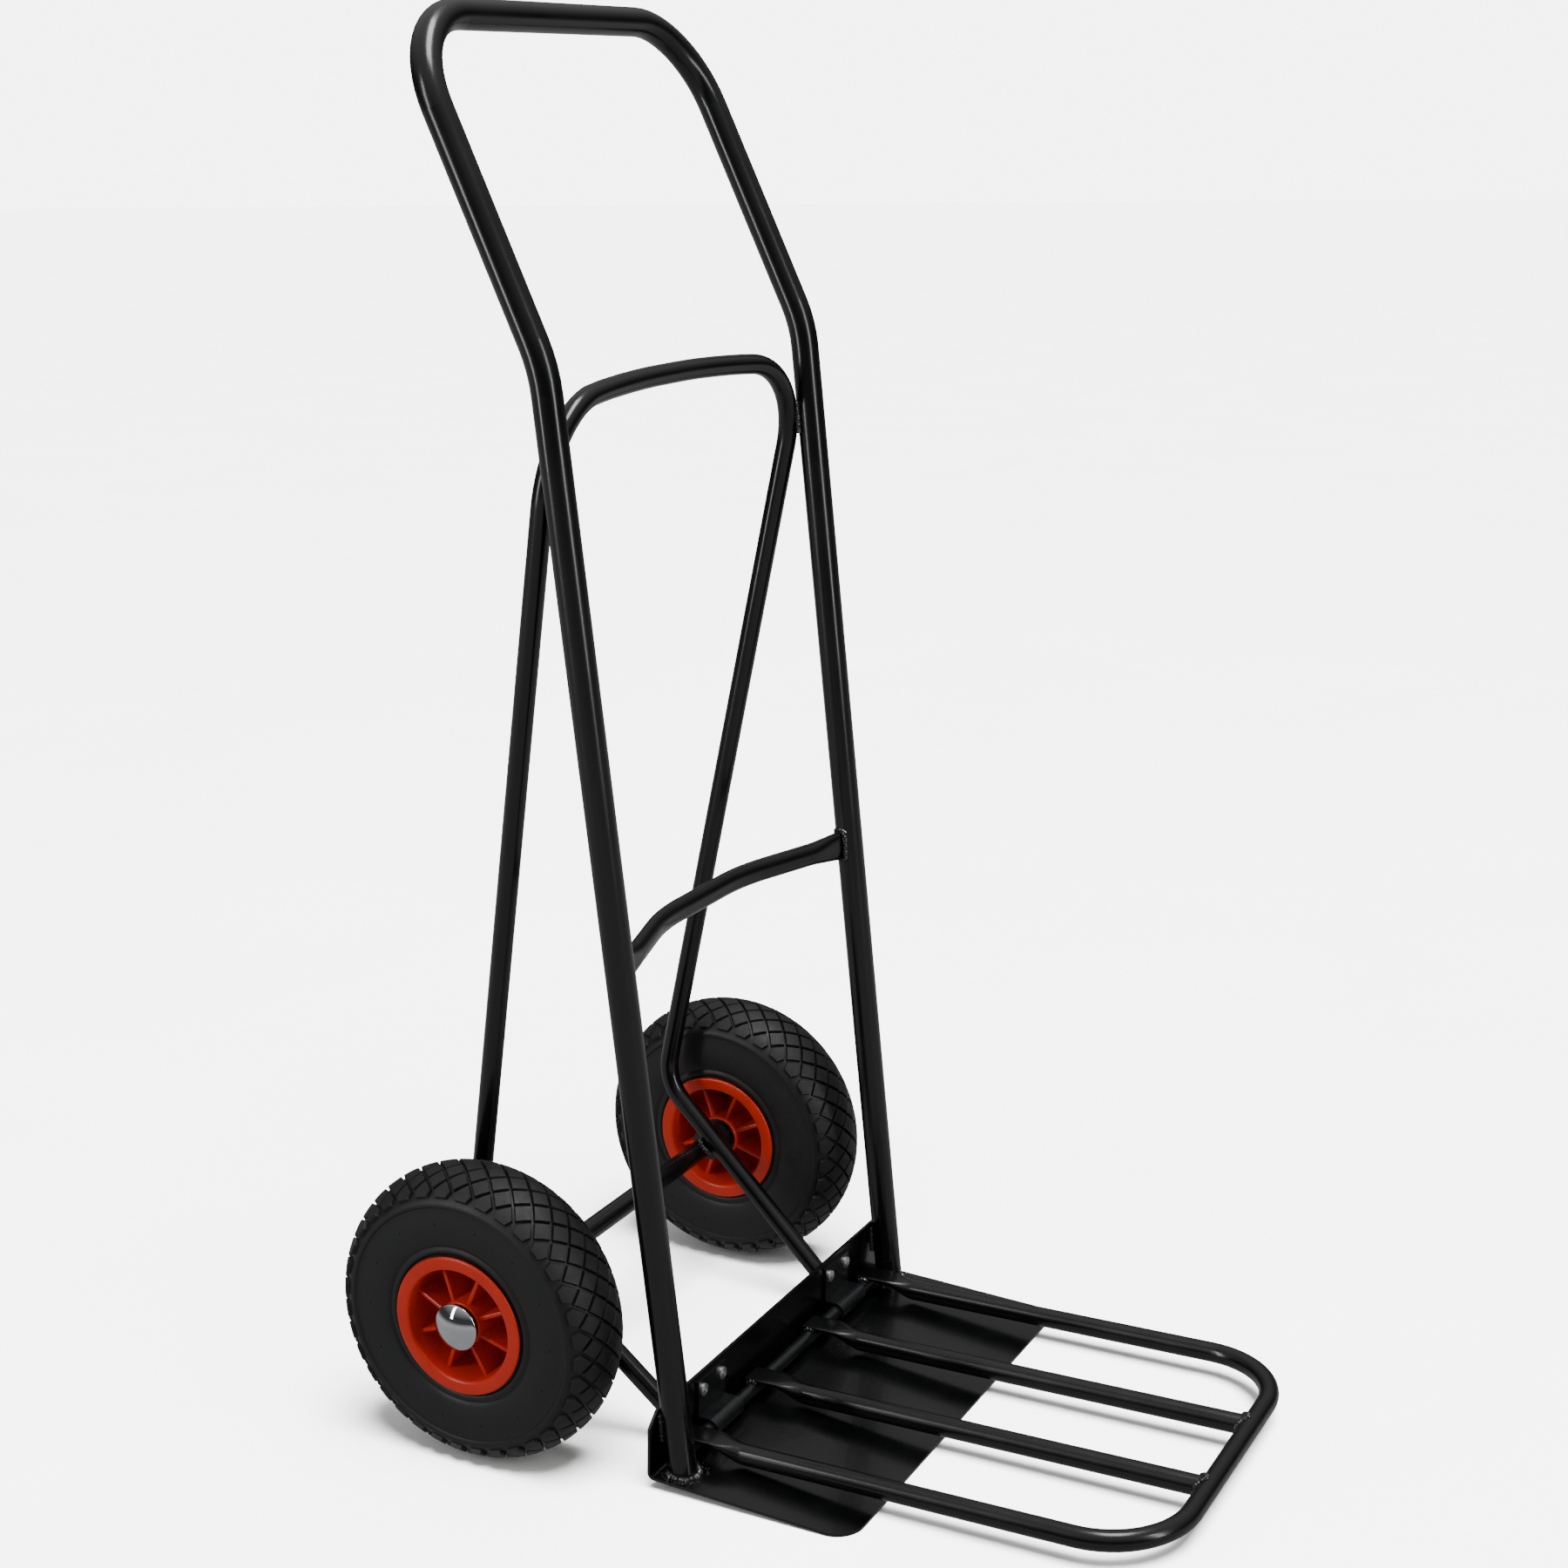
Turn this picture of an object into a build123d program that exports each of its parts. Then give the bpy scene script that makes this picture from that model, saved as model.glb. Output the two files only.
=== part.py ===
"""Two-wheeled hand truck with a folding load grate.

Bent steel tube frame, folded toe plate and two pneumatic wheels on one axle.

Frame of the part, in millimetres: +Z up, +X along the axle to the truck's left as seen from the load side,
-Y towards the load. The origin is on the floor, in the middle of the footprint. Inside this file everything
is laid out from the feet of the two legs, and keep() moves each finished piece to that origin.
"""

import os
from math import atan2, cos, degrees, radians, sin, tan

from build123d import *

# ---- main frame: one bent tube from foot to foot, over the handle --------------------------------
main_tube_d = 24.5
main_tube_wall = 1.5
foot_half_span = 197.3  # tube axis at the feet
knee_spread = 11.8  # how much wider the tube runs at the bend below the handle
handle_spread = 9.0  # and at the top corners, before rounding
knee_back = 80.1
handle_height = 1174.5
handle_len = 259.5  # height of the part above the bend
handle_set_back = 115.9
knee_bend_r = 120.0
handle_bend_r = 78.0

# ---- small tube, shared by the braces, the axle tube and the grate -------------------------------
small_tube_d = 17.5
small_tube_wall = 1.5

# ---- wheels and axle -----------------------------------------------------------------------------
wheel_d = 260.0
tyre_inside_leg = 16.2  # tyre's inner side, measured inwards from the foot's axis
tyre_behind_foot = 49.6
axle_tube_d = 19.0
axle_tube_past_brace = 5.0
axle_rod_d = 14.0
bush_fit = 0.08  # radial running clearance of the wheel bushes on the rod
sleeve_gap = 0.1  # round the still sleeves on the rod, and round the bushes in their hub
tyre_half_w = 37.5
crown_drop = 8.0  # crown to the edge of the tread
crown_share = 0.8  # tread width over tyre width
shoulder_drop = 24.0  # crown to the top of the flat sidewall
shoulder_in = 1.0
sidewall_rise = 18.0  # rim lip to the foot of the flat sidewall
bead_lip = 1.0  # how far the sidewall swells out beside the rim lip
rim_lip_r = 61.5
rim_seat_r = 57.5
rim_seat_w = 7.5
rim_well = 4.0
rim_well_share = 0.55  # width of the drop centre over the rim width
rim_mouth_r = 52.5
rim_mouth_round = 1.2
rim_wall = 3.0
barrel_draft = 3.0  # the moulded barrel narrows towards the web
hub_r = 21.0
hub_sunk = 4.5  # hub ends below the rim's lips
hub_draft = 1.0
rib_count = 8
rib_t = 2.6
rib_below_hub = 3.0
rib_below_lip = 11.0
rib_bite = 1.0  # ribs run this far into the hub and the barrel
web_t = 3.0
bush_r = 15.0
bush_len = 24.0
bush_flange_r = 18.5
bush_flange_t = 2.0
end_play = 0.5  # side play of each wheel on the axle
spacer_r = 16.0
washer_r = 19.0
washer_t = 2.0
cap_r = 20.8
cap_dome_h = 8.5
cap_wall = 1.2
cap_collar = 2.0
cap_grip = 7.0  # outside depth of the push-on cap over the axle rod
tyre_wall = 5.0
inner_tube_wall = 1.5
inner_tube_slack = 2.0  # between the inner tube and the tyre's sidewalls
layer_gap = 0.3  # between rim, inner tube and tyre
valve_d = 8.0
valve_hole_gap = 0.5
valve_len = 32.0
valve_root = 10.0  # where the stem starts, above the bead seat
valve_inboard = 14.0
valve_turn = {"left": 180.0, "right": 0.0}

# ---- toe plate: one folded sheet, tipped so that its front edge bears on the floor ---------------
plate_tilt = 2.8
ear_past_leg = 20.3  # foot axis to the side edge of the sheet
plate_front = 163.8  # feet to front edge, along the sheet
plate_t = 2.5
flange_h = 58.0
plate_bend_r = 3.5
plate_corner_r = 24.0
ear_chamfer = 12.0

# ---- rear brace: one tube, up both sides and over in a bowed arch --------------------------------
brace_lower_angle = 43.4  # lower runs, from the floor
brace_knee_above_axle = 63.6
brace_to_tyre = 14.4
brace_end_in = 19.4  # knee to lower end, sideways
brace_end_above_floor = 2.0
brace_knee_r = 45.0
arch_below_knee = 33.6  # top corners of the brace below the bend in the main tube
arch_behind_leg = 2.6
arch_rise = 10.3  # bowed middle above the corners
arch_bow = 16.6  # and behind them
arch_mid_half_span = 36.5
arch_corner_r = 74.0
arch_mid_r = 107.0

# ---- cross brace between the legs ----------------------------------------------------------------
cross_height = 442.0
cross_bow = 42.0
cross_bow_half_span = 68.3
cross_bow_r = 285.0
cross_end_h = 25.0
cross_end_t = 8.0
cross_flat_len = 24.0

# ---- folding grate and its hinge -----------------------------------------------------------------
pivot_rod_d = 12.0
pivot_fit = 0.08  # radial running clearance in the clamps
pivot_to_flange = 13.0
pivot_above_sheet = 9.3
rod_to_leg = 8.0
rod_past_bar = 11.1
inner_bar_share = 0.327  # inner bars' offset over the outer bars'
grate_reach = 411.0
grate_rise = 0.45
grate_corner_r = 72.0
tongue_w = 24.0
tongue_t = 3.6
tongue_from = 22.0  # flat from here to past the rod
tongue_to_tube = 48.0  # full round tube from here on
tongue_over = 7.0
cope_reach = 30.0
weld_gap = 0.1  # left between welded tubes

clamp_half_w = 23.0
clamp_to_tongue = 12.4
clamp_t = 2.5
clamp_tab_top = 52.0
screw_spacing = 32.0
screw_height = 43.0
screw_d = 6.0
screw_hole_d = 6.4
screw_head_d = 11.0
screw_head_h = 3.6
recess_w = 1.4
recess_len = 6.0
recess_depth = 1.8
nut_af = 10.0
nut_h = 5.0
nut_bore_d = 6.1
screw_past_nut = 1.5

# ---- places that follow from the sizes above -----------------------------------------------------
wheel_r = wheel_d / 2
small_r = small_tube_d / 2
main_r = main_tube_d / 2
knee_height = handle_height - handle_len
knee_half_span = foot_half_span + knee_spread
tyre_inside = foot_half_span - tyre_inside_leg
wheel_half_track = tyre_inside + tyre_half_w
axle_back = wheel_r + tyre_behind_foot
rim_half_w = tyre_half_w
hub_half_w = rim_half_w - hub_sunk
pivot_half_len = foot_half_span - main_r - rod_to_leg
grate_half_w = pivot_half_len - rod_past_bar
grate_bar_half_gap = grate_half_w * inner_bar_share
clamp_centre = grate_half_w - tongue_w / 2 - clamp_to_tongue - clamp_half_w
plate_half_w = foot_half_span + ear_past_leg
leg_lean = degrees(atan2(knee_back, knee_height))
sides = (("left", 1), ("right", -1))

# The sheet's own frame: origin at the middle of its lower front edge, Y along the sheet to the rear.
sheet = Pos(0, -plate_front * cos(radians(plate_tilt)), 0) * Rot(X=plate_tilt)
# The flange stands where its top edge meets the back of the leaning legs.
lean_on_sheet = radians(leg_lean + plate_tilt)
foot_on_sheet = plate_front * cos(radians(plate_tilt)) * cos(radians(leg_lean)) / cos(lean_on_sheet)
flange_face = foot_on_sheet + (main_r + weld_gap) / cos(lean_on_sheet) + flange_h * tan(lean_on_sheet)
pivot_at = sheet * Pos(0, flange_face - pivot_to_flange, plate_t + pivot_above_sheet)
pivot = pivot_at.position
footprint_front = -(pivot.Y - grate_reach * cos(radians(grate_rise)) - small_r)
footprint_back = axle_back + wheel_r
foot_y = (footprint_front - footprint_back) / 2


def keep(name, shape):
    """Move a finished piece from the legs' feet to the part's origin and write it as its own STEP file."""
    shape = Pos(0, foot_y, 0) * shape
    shape.label = name
    export_step(shape, f"parts/{name}.step")


def group(solids):
    """Several separate solids in one node, such as a set of screws."""
    return Compound(children=list(solids))


def mirrored(points):
    """The points followed by their mirror images across X = 0, in reverse order."""
    return points + [(-x, y, z) for x, y, z in reversed(points)]


def swept_tube(points, radii, diameter, wall):
    """A round tube along straight runs joined by tangent bends."""
    path = FilletPolyline(*points, radius=radii)
    ring = Circle(diameter / 2) - Circle(diameter / 2 - wall)
    return sweep(Plane(origin=path @ 0, z_dir=path % 0) * ring, path=path)


def along_x(radius, x0, x1, y=0.0, z=0.0):
    """A solid round bar along X."""
    return Pos((x0 + x1) / 2, y, z) * Rot(Y=90) * Cylinder(radius, abs(x1 - x0))


def ring_x(outer_r, inner_r, x0, x1, y=0.0, z=0.0):
    """A round sleeve along X."""
    return along_x(outer_r, x0, x1, y, z) - along_x(inner_r, min(x0, x1) - 1, max(x0, x1) + 1, y, z)


def between(a, b, share):
    return a + (b - a) * share


def leg_point(height):
    """Axis of the left leg at a height below the knee."""
    share = height / knee_height
    return (between(foot_half_span, knee_half_span, share), knee_back * share, height)


# ---- frame ---------------------------------------------------------------------------------------
def main_frame_tube():
    below_sheet = leg_point(-10.0)
    knee = (knee_half_span, knee_back, knee_height)
    corner = (foot_half_span + handle_spread, knee_back + handle_set_back, handle_height)
    tube = swept_tube(
        mirrored([below_sheet, knee, corner]),
        [knee_bend_r, handle_bend_r, handle_bend_r, knee_bend_r],
        main_tube_d,
        main_tube_wall,
    )
    under_sheet = sheet * Pos(0, plate_front, plate_t - 50) * Box(600, 200, 100)
    return tube - under_sheet


def brace_points(corner_half_span):
    """Tube axis of the left half of the rear brace, from its foot to the bowed middle of the arch."""
    slope = tan(radians(brace_lower_angle))
    # the lower run lies on top of the axle tube
    on_axle = (axle_tube_d + small_tube_d) / 2
    run_y = axle_back - on_axle * sin(radians(brace_lower_angle))
    run_z = wheel_r + on_axle * cos(radians(brace_lower_angle))
    knee_z = wheel_r + brace_knee_above_axle
    knee_half = tyre_inside - brace_to_tyre - small_r
    arch_z = knee_height - arch_below_knee
    arch_y = leg_point(arch_z)[1] + arch_behind_leg
    return [
        (knee_half - brace_end_in, run_y - run_z / slope, 0),
        (knee_half, run_y + (knee_z - run_z) / slope, knee_z),
        (corner_half_span, arch_y, arch_z),
        (arch_mid_half_span, arch_y + arch_bow, arch_z + arch_rise),
    ]


def brace_radii():
    bends = [brace_knee_r, arch_corner_r, arch_mid_r]
    return bends + bends[::-1]


def brace_corner_half_span():
    """Widen the arch until the brace rests against both legs."""
    leg = Line(leg_point(knee_height / 2), leg_point(knee_height))
    touching = main_r + small_r + weld_gap
    half_span = foot_half_span
    for _ in range(8):
        path = FilletPolyline(*mirrored(brace_points(half_span)), radius=brace_radii())
        half_span += path.distance_to(leg) - touching
    return half_span


def rear_brace_tube():
    points = mirrored(brace_points(brace_corner_half_span()))
    tube = swept_tube(points, brace_radii(), small_tube_d, small_tube_wall)
    in_front = sheet * Pos(0, flange_face + plate_t - 100, 0) * Box(600, 200, 200)
    under_end = Pos(0, 0, brace_end_above_floor - 50) * Box(600, 200, 100)
    return tube - in_front - under_end


def flattened(height, thickness):
    """Outline of a pinched tube end: tall, thin and round at both edges."""
    return SlotOverall(height, thickness, rotation=90)


def cross_brace():
    """Bowed tube whose pinched ends stand upright against the inner faces of the legs."""
    end = leg_point(cross_height)
    bow = (cross_bow_half_span, end[1] + cross_bow, cross_height)
    path = FilletPolyline(*mirrored([end, bow]), radius=[cross_bow_r, cross_bow_r])
    share = (cross_flat_len + main_r) / path.length
    ring = Circle(small_r) - Circle(small_r - small_tube_wall)
    pieces = []
    middle = path.trim(share, 1 - share)
    pieces.append(sweep(Plane(origin=middle @ 0, z_dir=middle % 0) * ring, path=middle))
    for at, inward in ((0, share), (1, 1 - share)):
        run = Vector(path @ inward) - Vector(path @ at)
        upright = Plane(origin=path @ inward, x_dir=run.cross(Vector(0, 0, 1)), z_dir=run * -1)
        pinched = upright.offset(cross_flat_len * 0.6) * flattened(cross_end_h, cross_end_t)
        tip = upright.offset(run.length) * flattened(cross_end_h, cross_end_t)
        pieces.append(loft([upright * Circle(small_r), pinched]))
        pieces.append(loft([pinched, tip]))
    shape = pieces[0].fuse(*pieces[1:])
    for sign in (1, -1):
        shape -= leg_core(sign)
    return shape


def leg_core(sign):
    """Solid bar that fills a leg tube, used to fit other tubes against the leg."""
    low, high = Vector(leg_point(-10.0)), Vector(leg_point(2 * cross_height))
    low, high = (Vector(v.X * sign, v.Y, v.Z) for v in (low, high))
    run = high - low
    return Plane(origin=low + run * 0.5, z_dir=run) * Cylinder(main_r, run.length)


def axle_tube():
    half = axle_tube_half_len()
    return ring_x(axle_tube_d / 2, axle_rod_d / 2 + sleeve_gap, -half, half, axle_back, wheel_r)


def axle_tube_half_len():
    """The axle tube ends just outside the brace; spacers fill the rest of the way to the wheel hubs."""
    foot, knee = brace_points(foot_half_span)[:2]
    share = (wheel_r - foot[2]) / (knee[2] - foot[2])
    return between(foot[0], knee[0], share) + small_r + axle_tube_past_brace


def hub_inner():
    return wheel_half_track - hub_half_w - bush_flange_t


def hub_outer():
    return wheel_half_track + hub_half_w + bush_flange_t


def axle_rod():
    half = hub_outer() + end_play + washer_t + cap_grip - cap_wall - sleeve_gap
    return along_x(axle_rod_d / 2, -half, half, axle_back, wheel_r)


def axle_spacer(sign):
    start, stop = axle_tube_half_len(), hub_inner() - end_play
    return ring_x(spacer_r, axle_rod_d / 2 + sleeve_gap, sign * start, sign * stop, axle_back, wheel_r)


def outer_washer(sign):
    start = hub_outer() + end_play
    stop = start + washer_t
    return ring_x(washer_r, axle_rod_d / 2 + sleeve_gap, sign * start, sign * stop, axle_back, wheel_r)


def dome(radius, height, thickness):
    """Shallow spherical cap on the XY plane, bulging to +Z."""
    ball_r = (radius**2 + height**2) / (2 * height)
    outer = Pos(0, 0, height - ball_r) * Sphere(ball_r)
    inner = Pos(0, 0, height - ball_r) * Sphere(ball_r - thickness)
    keep_above = Pos(0, 0, height) * Box(4 * radius, 4 * radius, 2 * height)
    return (outer & keep_above), (inner & keep_above)


def hub_cap(sign):
    """Domed push-on cap: a thin shell with a collar that grips the end of the axle rod."""
    full, hollow = dome(cap_r, cap_dome_h, cap_wall)
    inside_h, socket_h = cap_dome_h - cap_wall, cap_grip - cap_wall
    collar = Pos(0, 0, inside_h / 2) * Cylinder(axle_rod_d / 2 + cap_collar, inside_h)
    socket = Pos(0, 0, socket_h / 2) * Cylinder(axle_rod_d / 2 + sleeve_gap, socket_h)
    cap = (full - hollow) + (collar & full) - socket
    face = hub_outer() + end_play + washer_t
    return Pos(sign * face, axle_back, wheel_r) * Rot(Y=90 * sign) * cap


# ---- wheels: built about the Z axis at the origin, then turned onto the axle ---------------------
def on_axle(sign, shape):
    return Pos(sign * wheel_half_track, axle_back, wheel_r) * Rot(Y=90 * sign) * shape


def revolved(outline):
    """Solid of revolution about Z from an outline drawn as (radius, height)."""
    return revolve(Plane.XZ * make_face(outline), axis=Axis.Z)


def mirrored_outline(points):
    return points + [(r, -h) for r, h in reversed(points)]


def tyre():
    """Carcass with a round crown, flat sidewalls and two beads on the rim seats."""
    bead_h = rim_half_w - rim_wall - layer_gap
    crown_r, crown_h = wheel_r - crown_drop, crown_share * tyre_half_w
    crown = ThreePointArc((crown_r, -crown_h), (wheel_r, 0), (crown_r, crown_h))
    outside = [
        (wheel_r - shoulder_drop, tyre_half_w - shoulder_in),
        (rim_lip_r + sidewall_rise, tyre_half_w),
        (rim_lip_r + layer_gap + bead_lip, bead_h + bead_lip),
        (rim_lip_r + layer_gap, bead_h),
        (rim_seat_r + layer_gap, bead_h),
    ]
    inner_h = tyre_half_w - tyre_wall
    inside = [
        (rim_seat_r + layer_gap, rim_half_w - rim_wall - rim_seat_w + layer_gap),
        (rim_lip_r + sidewall_rise, inner_h),
        (wheel_r - shoulder_drop, inner_h),
        (wheel_r - crown_drop - tyre_wall, inner_h * crown_share),
    ]
    half = outside + inside
    edge = Polyline(crown @ 1, *mirrored_outline(half), crown @ 0)
    return revolved(crown + edge)


def rim_outline():
    """One-piece moulded rim in section: two lips, bead seats, a drop centre, the web and the hub."""
    lip_back = rim_half_w - rim_wall
    well_r = rim_seat_r - rim_well
    return Polyline(
        *mirrored_outline(
            [
                (well_r, rim_well_share * rim_half_w),
                (rim_seat_r, lip_back - rim_seat_w),
                (rim_seat_r, lip_back),
                (rim_lip_r, lip_back),
                (rim_lip_r, rim_half_w - rim_mouth_round),
                (rim_lip_r - rim_mouth_round, rim_half_w),
                (rim_mouth_r + rim_mouth_round, rim_half_w),
                (rim_mouth_r, rim_half_w - rim_mouth_round),
                (rim_mouth_r - barrel_draft, web_t / 2),
                (hub_r, web_t / 2),
                (hub_r - hub_draft, hub_half_w),
                (bush_r + sleeve_gap, hub_half_w),
            ]
        ),
        close=True,
    )


def rim(valve_angle):
    """Rim with a ring of thin radial ribs on both faces of the web, and a hole for the tyre valve."""
    body = revolved(rim_outline())
    at_hub, at_barrel = hub_half_w - rib_below_hub, rim_half_w - rib_below_lip
    start, stop = hub_r - hub_draft - rib_bite, rim_mouth_r - barrel_draft + rib_bite
    corners = [(start, at_hub), (stop, at_barrel), (stop, -at_barrel), (start, -at_hub)]
    rib = extrude(Plane.XZ * make_face(Polyline(*corners, close=True)), amount=rib_t / 2, both=True)
    for index in range(rib_count):
        body += Rot(Z=(index + 0.5) * 360 / rib_count) * rib
    return body - Rot(Z=valve_angle) * valve_bar(valve_d / 2 + valve_hole_gap, valve_len)


def valve_bar(radius, length):
    """Radial bar for the valve stem, inboard of the web."""
    middle = rim_seat_r + valve_root - length / 2
    return Pos(middle, 0, -valve_inboard) * Rot(Y=90) * Cylinder(radius, length)


def inner_tube(valve_angle):
    """Inflated tube lying in the tyre, with its valve stem through the rim."""
    low_r = rim_seat_r + layer_gap
    high_r = wheel_r - crown_drop - tyre_wall - layer_gap
    centre, tall = (low_r + high_r) / 2, (high_r - low_r) / 2
    wide = tyre_half_w - tyre_wall - inner_tube_slack
    ring = Ellipse(tall, wide) - Ellipse(tall - inner_tube_wall, wide - inner_tube_wall)
    body = revolve(Plane.XZ * Pos(centre, 0) * ring, axis=Axis.Z)
    # the stem is rooted half way into the tube's wall
    root = Ellipse(tall - inner_tube_wall / 2, wide - inner_tube_wall / 2)
    stem = valve_bar(valve_d / 2, valve_len) - revolve(Plane.XZ * Pos(centre, 0) * root, axis=Axis.Z)
    return Rot(Z=valve_angle) * (body + stem)


def hub_bush(inboard):
    """Flanged plain bush pressed into one end of the hub."""
    start = hub_half_w - bush_len
    bush = Pos(0, 0, start + bush_len / 2) * Cylinder(bush_r, bush_len)
    bush += Pos(0, 0, hub_half_w + bush_flange_t / 2) * Cylinder(bush_flange_r, bush_flange_t)
    bush -= Cylinder(axle_rod_d / 2 + bush_fit, 4 * hub_half_w)
    return Rot(X=180) * bush if inboard else bush


# ---- toe plate and hinge, in the sheet's own frame -----------------------------------------------
def screw_places():
    """X of every clamp screw."""
    return [side * clamp_centre + end * screw_spacing / 2 for side in (-1, 1) for end in (-1, 1)]


def along_sheet(radius, x, y0, y1, z):
    return Pos(x, (y0 + y1) / 2, z) * Rot(X=90) * Cylinder(radius, abs(y1 - y0))


def near(y=None, z=None):
    """Edge filter: centre at this Y and Z."""

    def chosen(edge):
        at = edge.center()
        return (y is None or abs(at.Y - y) < 0.01) and (z is None or abs(at.Z - z) < 0.01)

    return chosen


def toe_plate():
    """Folded sheet: floor plate with rounded front corners and an upright flange behind the legs."""
    back = flange_face + plate_t
    floor_run = [(0, plate_t), (0, 0), (back, 0)]
    upright = [(back, flange_h), (flange_face, flange_h), (flange_face, plate_t)]
    section = make_face(Polyline(*floor_run, *upright, close=True))
    body = extrude(Plane.YZ * section, amount=plate_half_w, both=True)
    body = fillet(body.edges().filter_by(Axis.X).filter_by(near(flange_face, plate_t)), plate_bend_r)
    body = fillet(body.edges().filter_by(Axis.X).filter_by(near(back, 0)), plate_bend_r + plate_t)
    body = fillet(body.edges().filter_by(Axis.Z).filter_by(near(y=0)), plate_corner_r)
    body = chamfer(body.edges().filter_by(Axis.Y).filter_by(near(z=flange_h)), ear_chamfer)
    for x in screw_places():
        body -= along_sheet(screw_hole_d / 2, x, flange_face - plate_t, back + plate_t, screw_height)
    return sheet * body


def hinge_clamp(sign):
    """Strap bolted flat to the flange and bent round the pivot rod."""
    rod_y, rod_z = flange_face - pivot_to_flange, plate_t + pivot_above_sheet
    inner = pivot_rod_d / 2 + pivot_fit
    outer = inner + clamp_t
    tab_y = flange_face - clamp_t
    section = Pos(rod_y, rod_z) * (Circle(outer) - Circle(inner))
    section -= Pos(rod_y + outer, rod_z) * Rectangle(2 * outer, 4 * outer)
    low_end = flange_face - plate_bend_r - layer_gap
    bars = (
        (rod_y, tab_y, rod_z + inner, rod_z + outer),
        (rod_y, low_end, rod_z - outer, rod_z - inner),
        (tab_y, flange_face, rod_z + inner, clamp_tab_top),
    )
    for y0, y1, z0, z1 in bars:
        section += Pos((y0 + y1) / 2, (z0 + z1) / 2) * Rectangle(y1 - y0, z1 - z0)
    strap = extrude(Plane.YZ * section, amount=clamp_half_w, both=True)
    for end in (-1, 1):
        x = end * screw_spacing / 2
        strap -= along_sheet(screw_hole_d / 2, x, tab_y - clamp_t, flange_face + clamp_t, screw_height)
    return sheet * Pos(sign * clamp_centre, 0, 0) * strap


def clamp_screw(x):
    """Pan-head screw with a cross recess."""
    head_back = flange_face - clamp_t
    shank_end = flange_face + plate_t + nut_h + screw_past_nut
    body = along_sheet(screw_d / 2, x, head_back, shank_end, screw_height)
    head = along_sheet(screw_head_d / 2, x, head_back - screw_head_h, head_back, screw_height)
    ball_r = screw_head_d
    head &= Pos(x, head_back - screw_head_h + ball_r, screw_height) * Sphere(ball_r)
    body += head
    top = head_back - screw_head_h + recess_depth / 2
    for angle in (45, 135):
        body -= Pos(x, top, screw_height) * Rot(Y=angle) * Box(recess_len, recess_depth + 0.01, recess_w)
    return sheet * body


def clamp_nut(x):
    blank = extrude(RegularPolygon(nut_af / 2, 6, major_radius=False), amount=nut_h)
    blank -= Cylinder(nut_bore_d / 2, 4 * nut_h)
    return sheet * Pos(x, flange_face + plate_t, screw_height) * Rot(X=-90) * blank


# ---- folding grate, in a frame at the pivot with -Y along its bars -------------------------------
grate_frame = Pos(*pivot) * Rot(X=-grate_rise)


def pinched_end(x):
    """Rear end of a grate bar, pressed flat and laid over the pivot rod."""
    tongue_z = pivot_rod_d / 2 + weld_gap + tongue_t / 2
    round_end = Plane(origin=(x, -tongue_to_tube, 0), x_dir=(1, 0, 0), z_dir=(0, 1, 0)) * Circle(small_r)
    flat_start = Plane(origin=(x, -tongue_from, tongue_z), x_dir=(1, 0, 0), z_dir=(0, 1, 0))
    flat_end = flat_start * SlotOverall(tongue_w, tongue_t)
    return loft([round_end, flat_end]) + extrude(flat_end, amount=tongue_from + tongue_over, dir=(0, 1, 0))


def grate_outer_tube():
    start, front, half = -tongue_to_tube, -grate_reach, grate_half_w
    path = [(half, start, 0), (half, front, 0), (-half, front, 0), (-half, start, 0)]
    tube = swept_tube(path, [grate_corner_r, grate_corner_r], small_tube_d, small_tube_wall)
    return grate_frame * (tube + pinched_end(half) + pinched_end(-half))


def grate_inner_bar(sign):
    """Straight bar, coped against the front run of the outer tube."""
    x = sign * grate_bar_half_gap
    bar = Cylinder(small_r, grate_reach - tongue_to_tube) - Cylinder(small_r - small_tube_wall, grate_reach)
    bar = Pos(x, -(grate_reach + tongue_to_tube) / 2, 0) * Rot(X=90) * bar
    front_run = along_x(small_r + weld_gap, x - cope_reach, x + cope_reach, -grate_reach)
    return grate_frame * (bar + pinched_end(x) - front_run)


def pivot_rod():
    return grate_frame * along_x(pivot_rod_d / 2, -pivot_half_len, pivot_half_len)


# ---- every node of the part ----------------------------------------------------------------------
def main():
    os.makedirs("parts", exist_ok=True)
    keep("main_frame_tube", main_frame_tube())
    keep("rear_brace_tube", rear_brace_tube())
    keep("cross_brace", cross_brace())
    keep("axle_tube", axle_tube())
    keep("axle_rod", axle_rod())
    keep("toe_plate", toe_plate())
    keep("clamp_screws", group(clamp_screw(x) for x in screw_places()))
    keep("clamp_nuts", group(clamp_nut(x) for x in screw_places()))
    keep("pivot_rod", pivot_rod())
    keep("grate_outer_tube", grate_outer_tube())
    for side, sign in sides:
        valve_angle = valve_turn[side]
        keep(f"hinge_clamp_{side}", hinge_clamp(sign))
        keep(f"grate_inner_bar_{side}", grate_inner_bar(sign))
        keep(f"axle_spacer_{side}", axle_spacer(sign))
        keep(f"outer_washer_{side}", outer_washer(sign))
        keep(f"hub_cap_{side}", hub_cap(sign))
        keep(f"tyre_{side}", on_axle(sign, tyre()))
        keep(f"inner_tube_{side}", on_axle(sign, inner_tube(valve_angle)))
        keep(f"rim_{side}", on_axle(sign, rim(valve_angle)))
        keep(f"hub_bush_inner_{side}", on_axle(sign, hub_bush(inboard=True)))
        keep(f"hub_bush_outer_{side}", on_axle(sign, hub_bush(inboard=False)))


main()
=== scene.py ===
"""Looks of a two-wheeled hand truck with a folding load grate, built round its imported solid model."""

import logging
import math
from dataclasses import dataclass, field
from enum import Enum
from typing import Any, Iterable, Sequence

import bmesh
import bpy
from mathutils import Matrix, Vector


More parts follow.
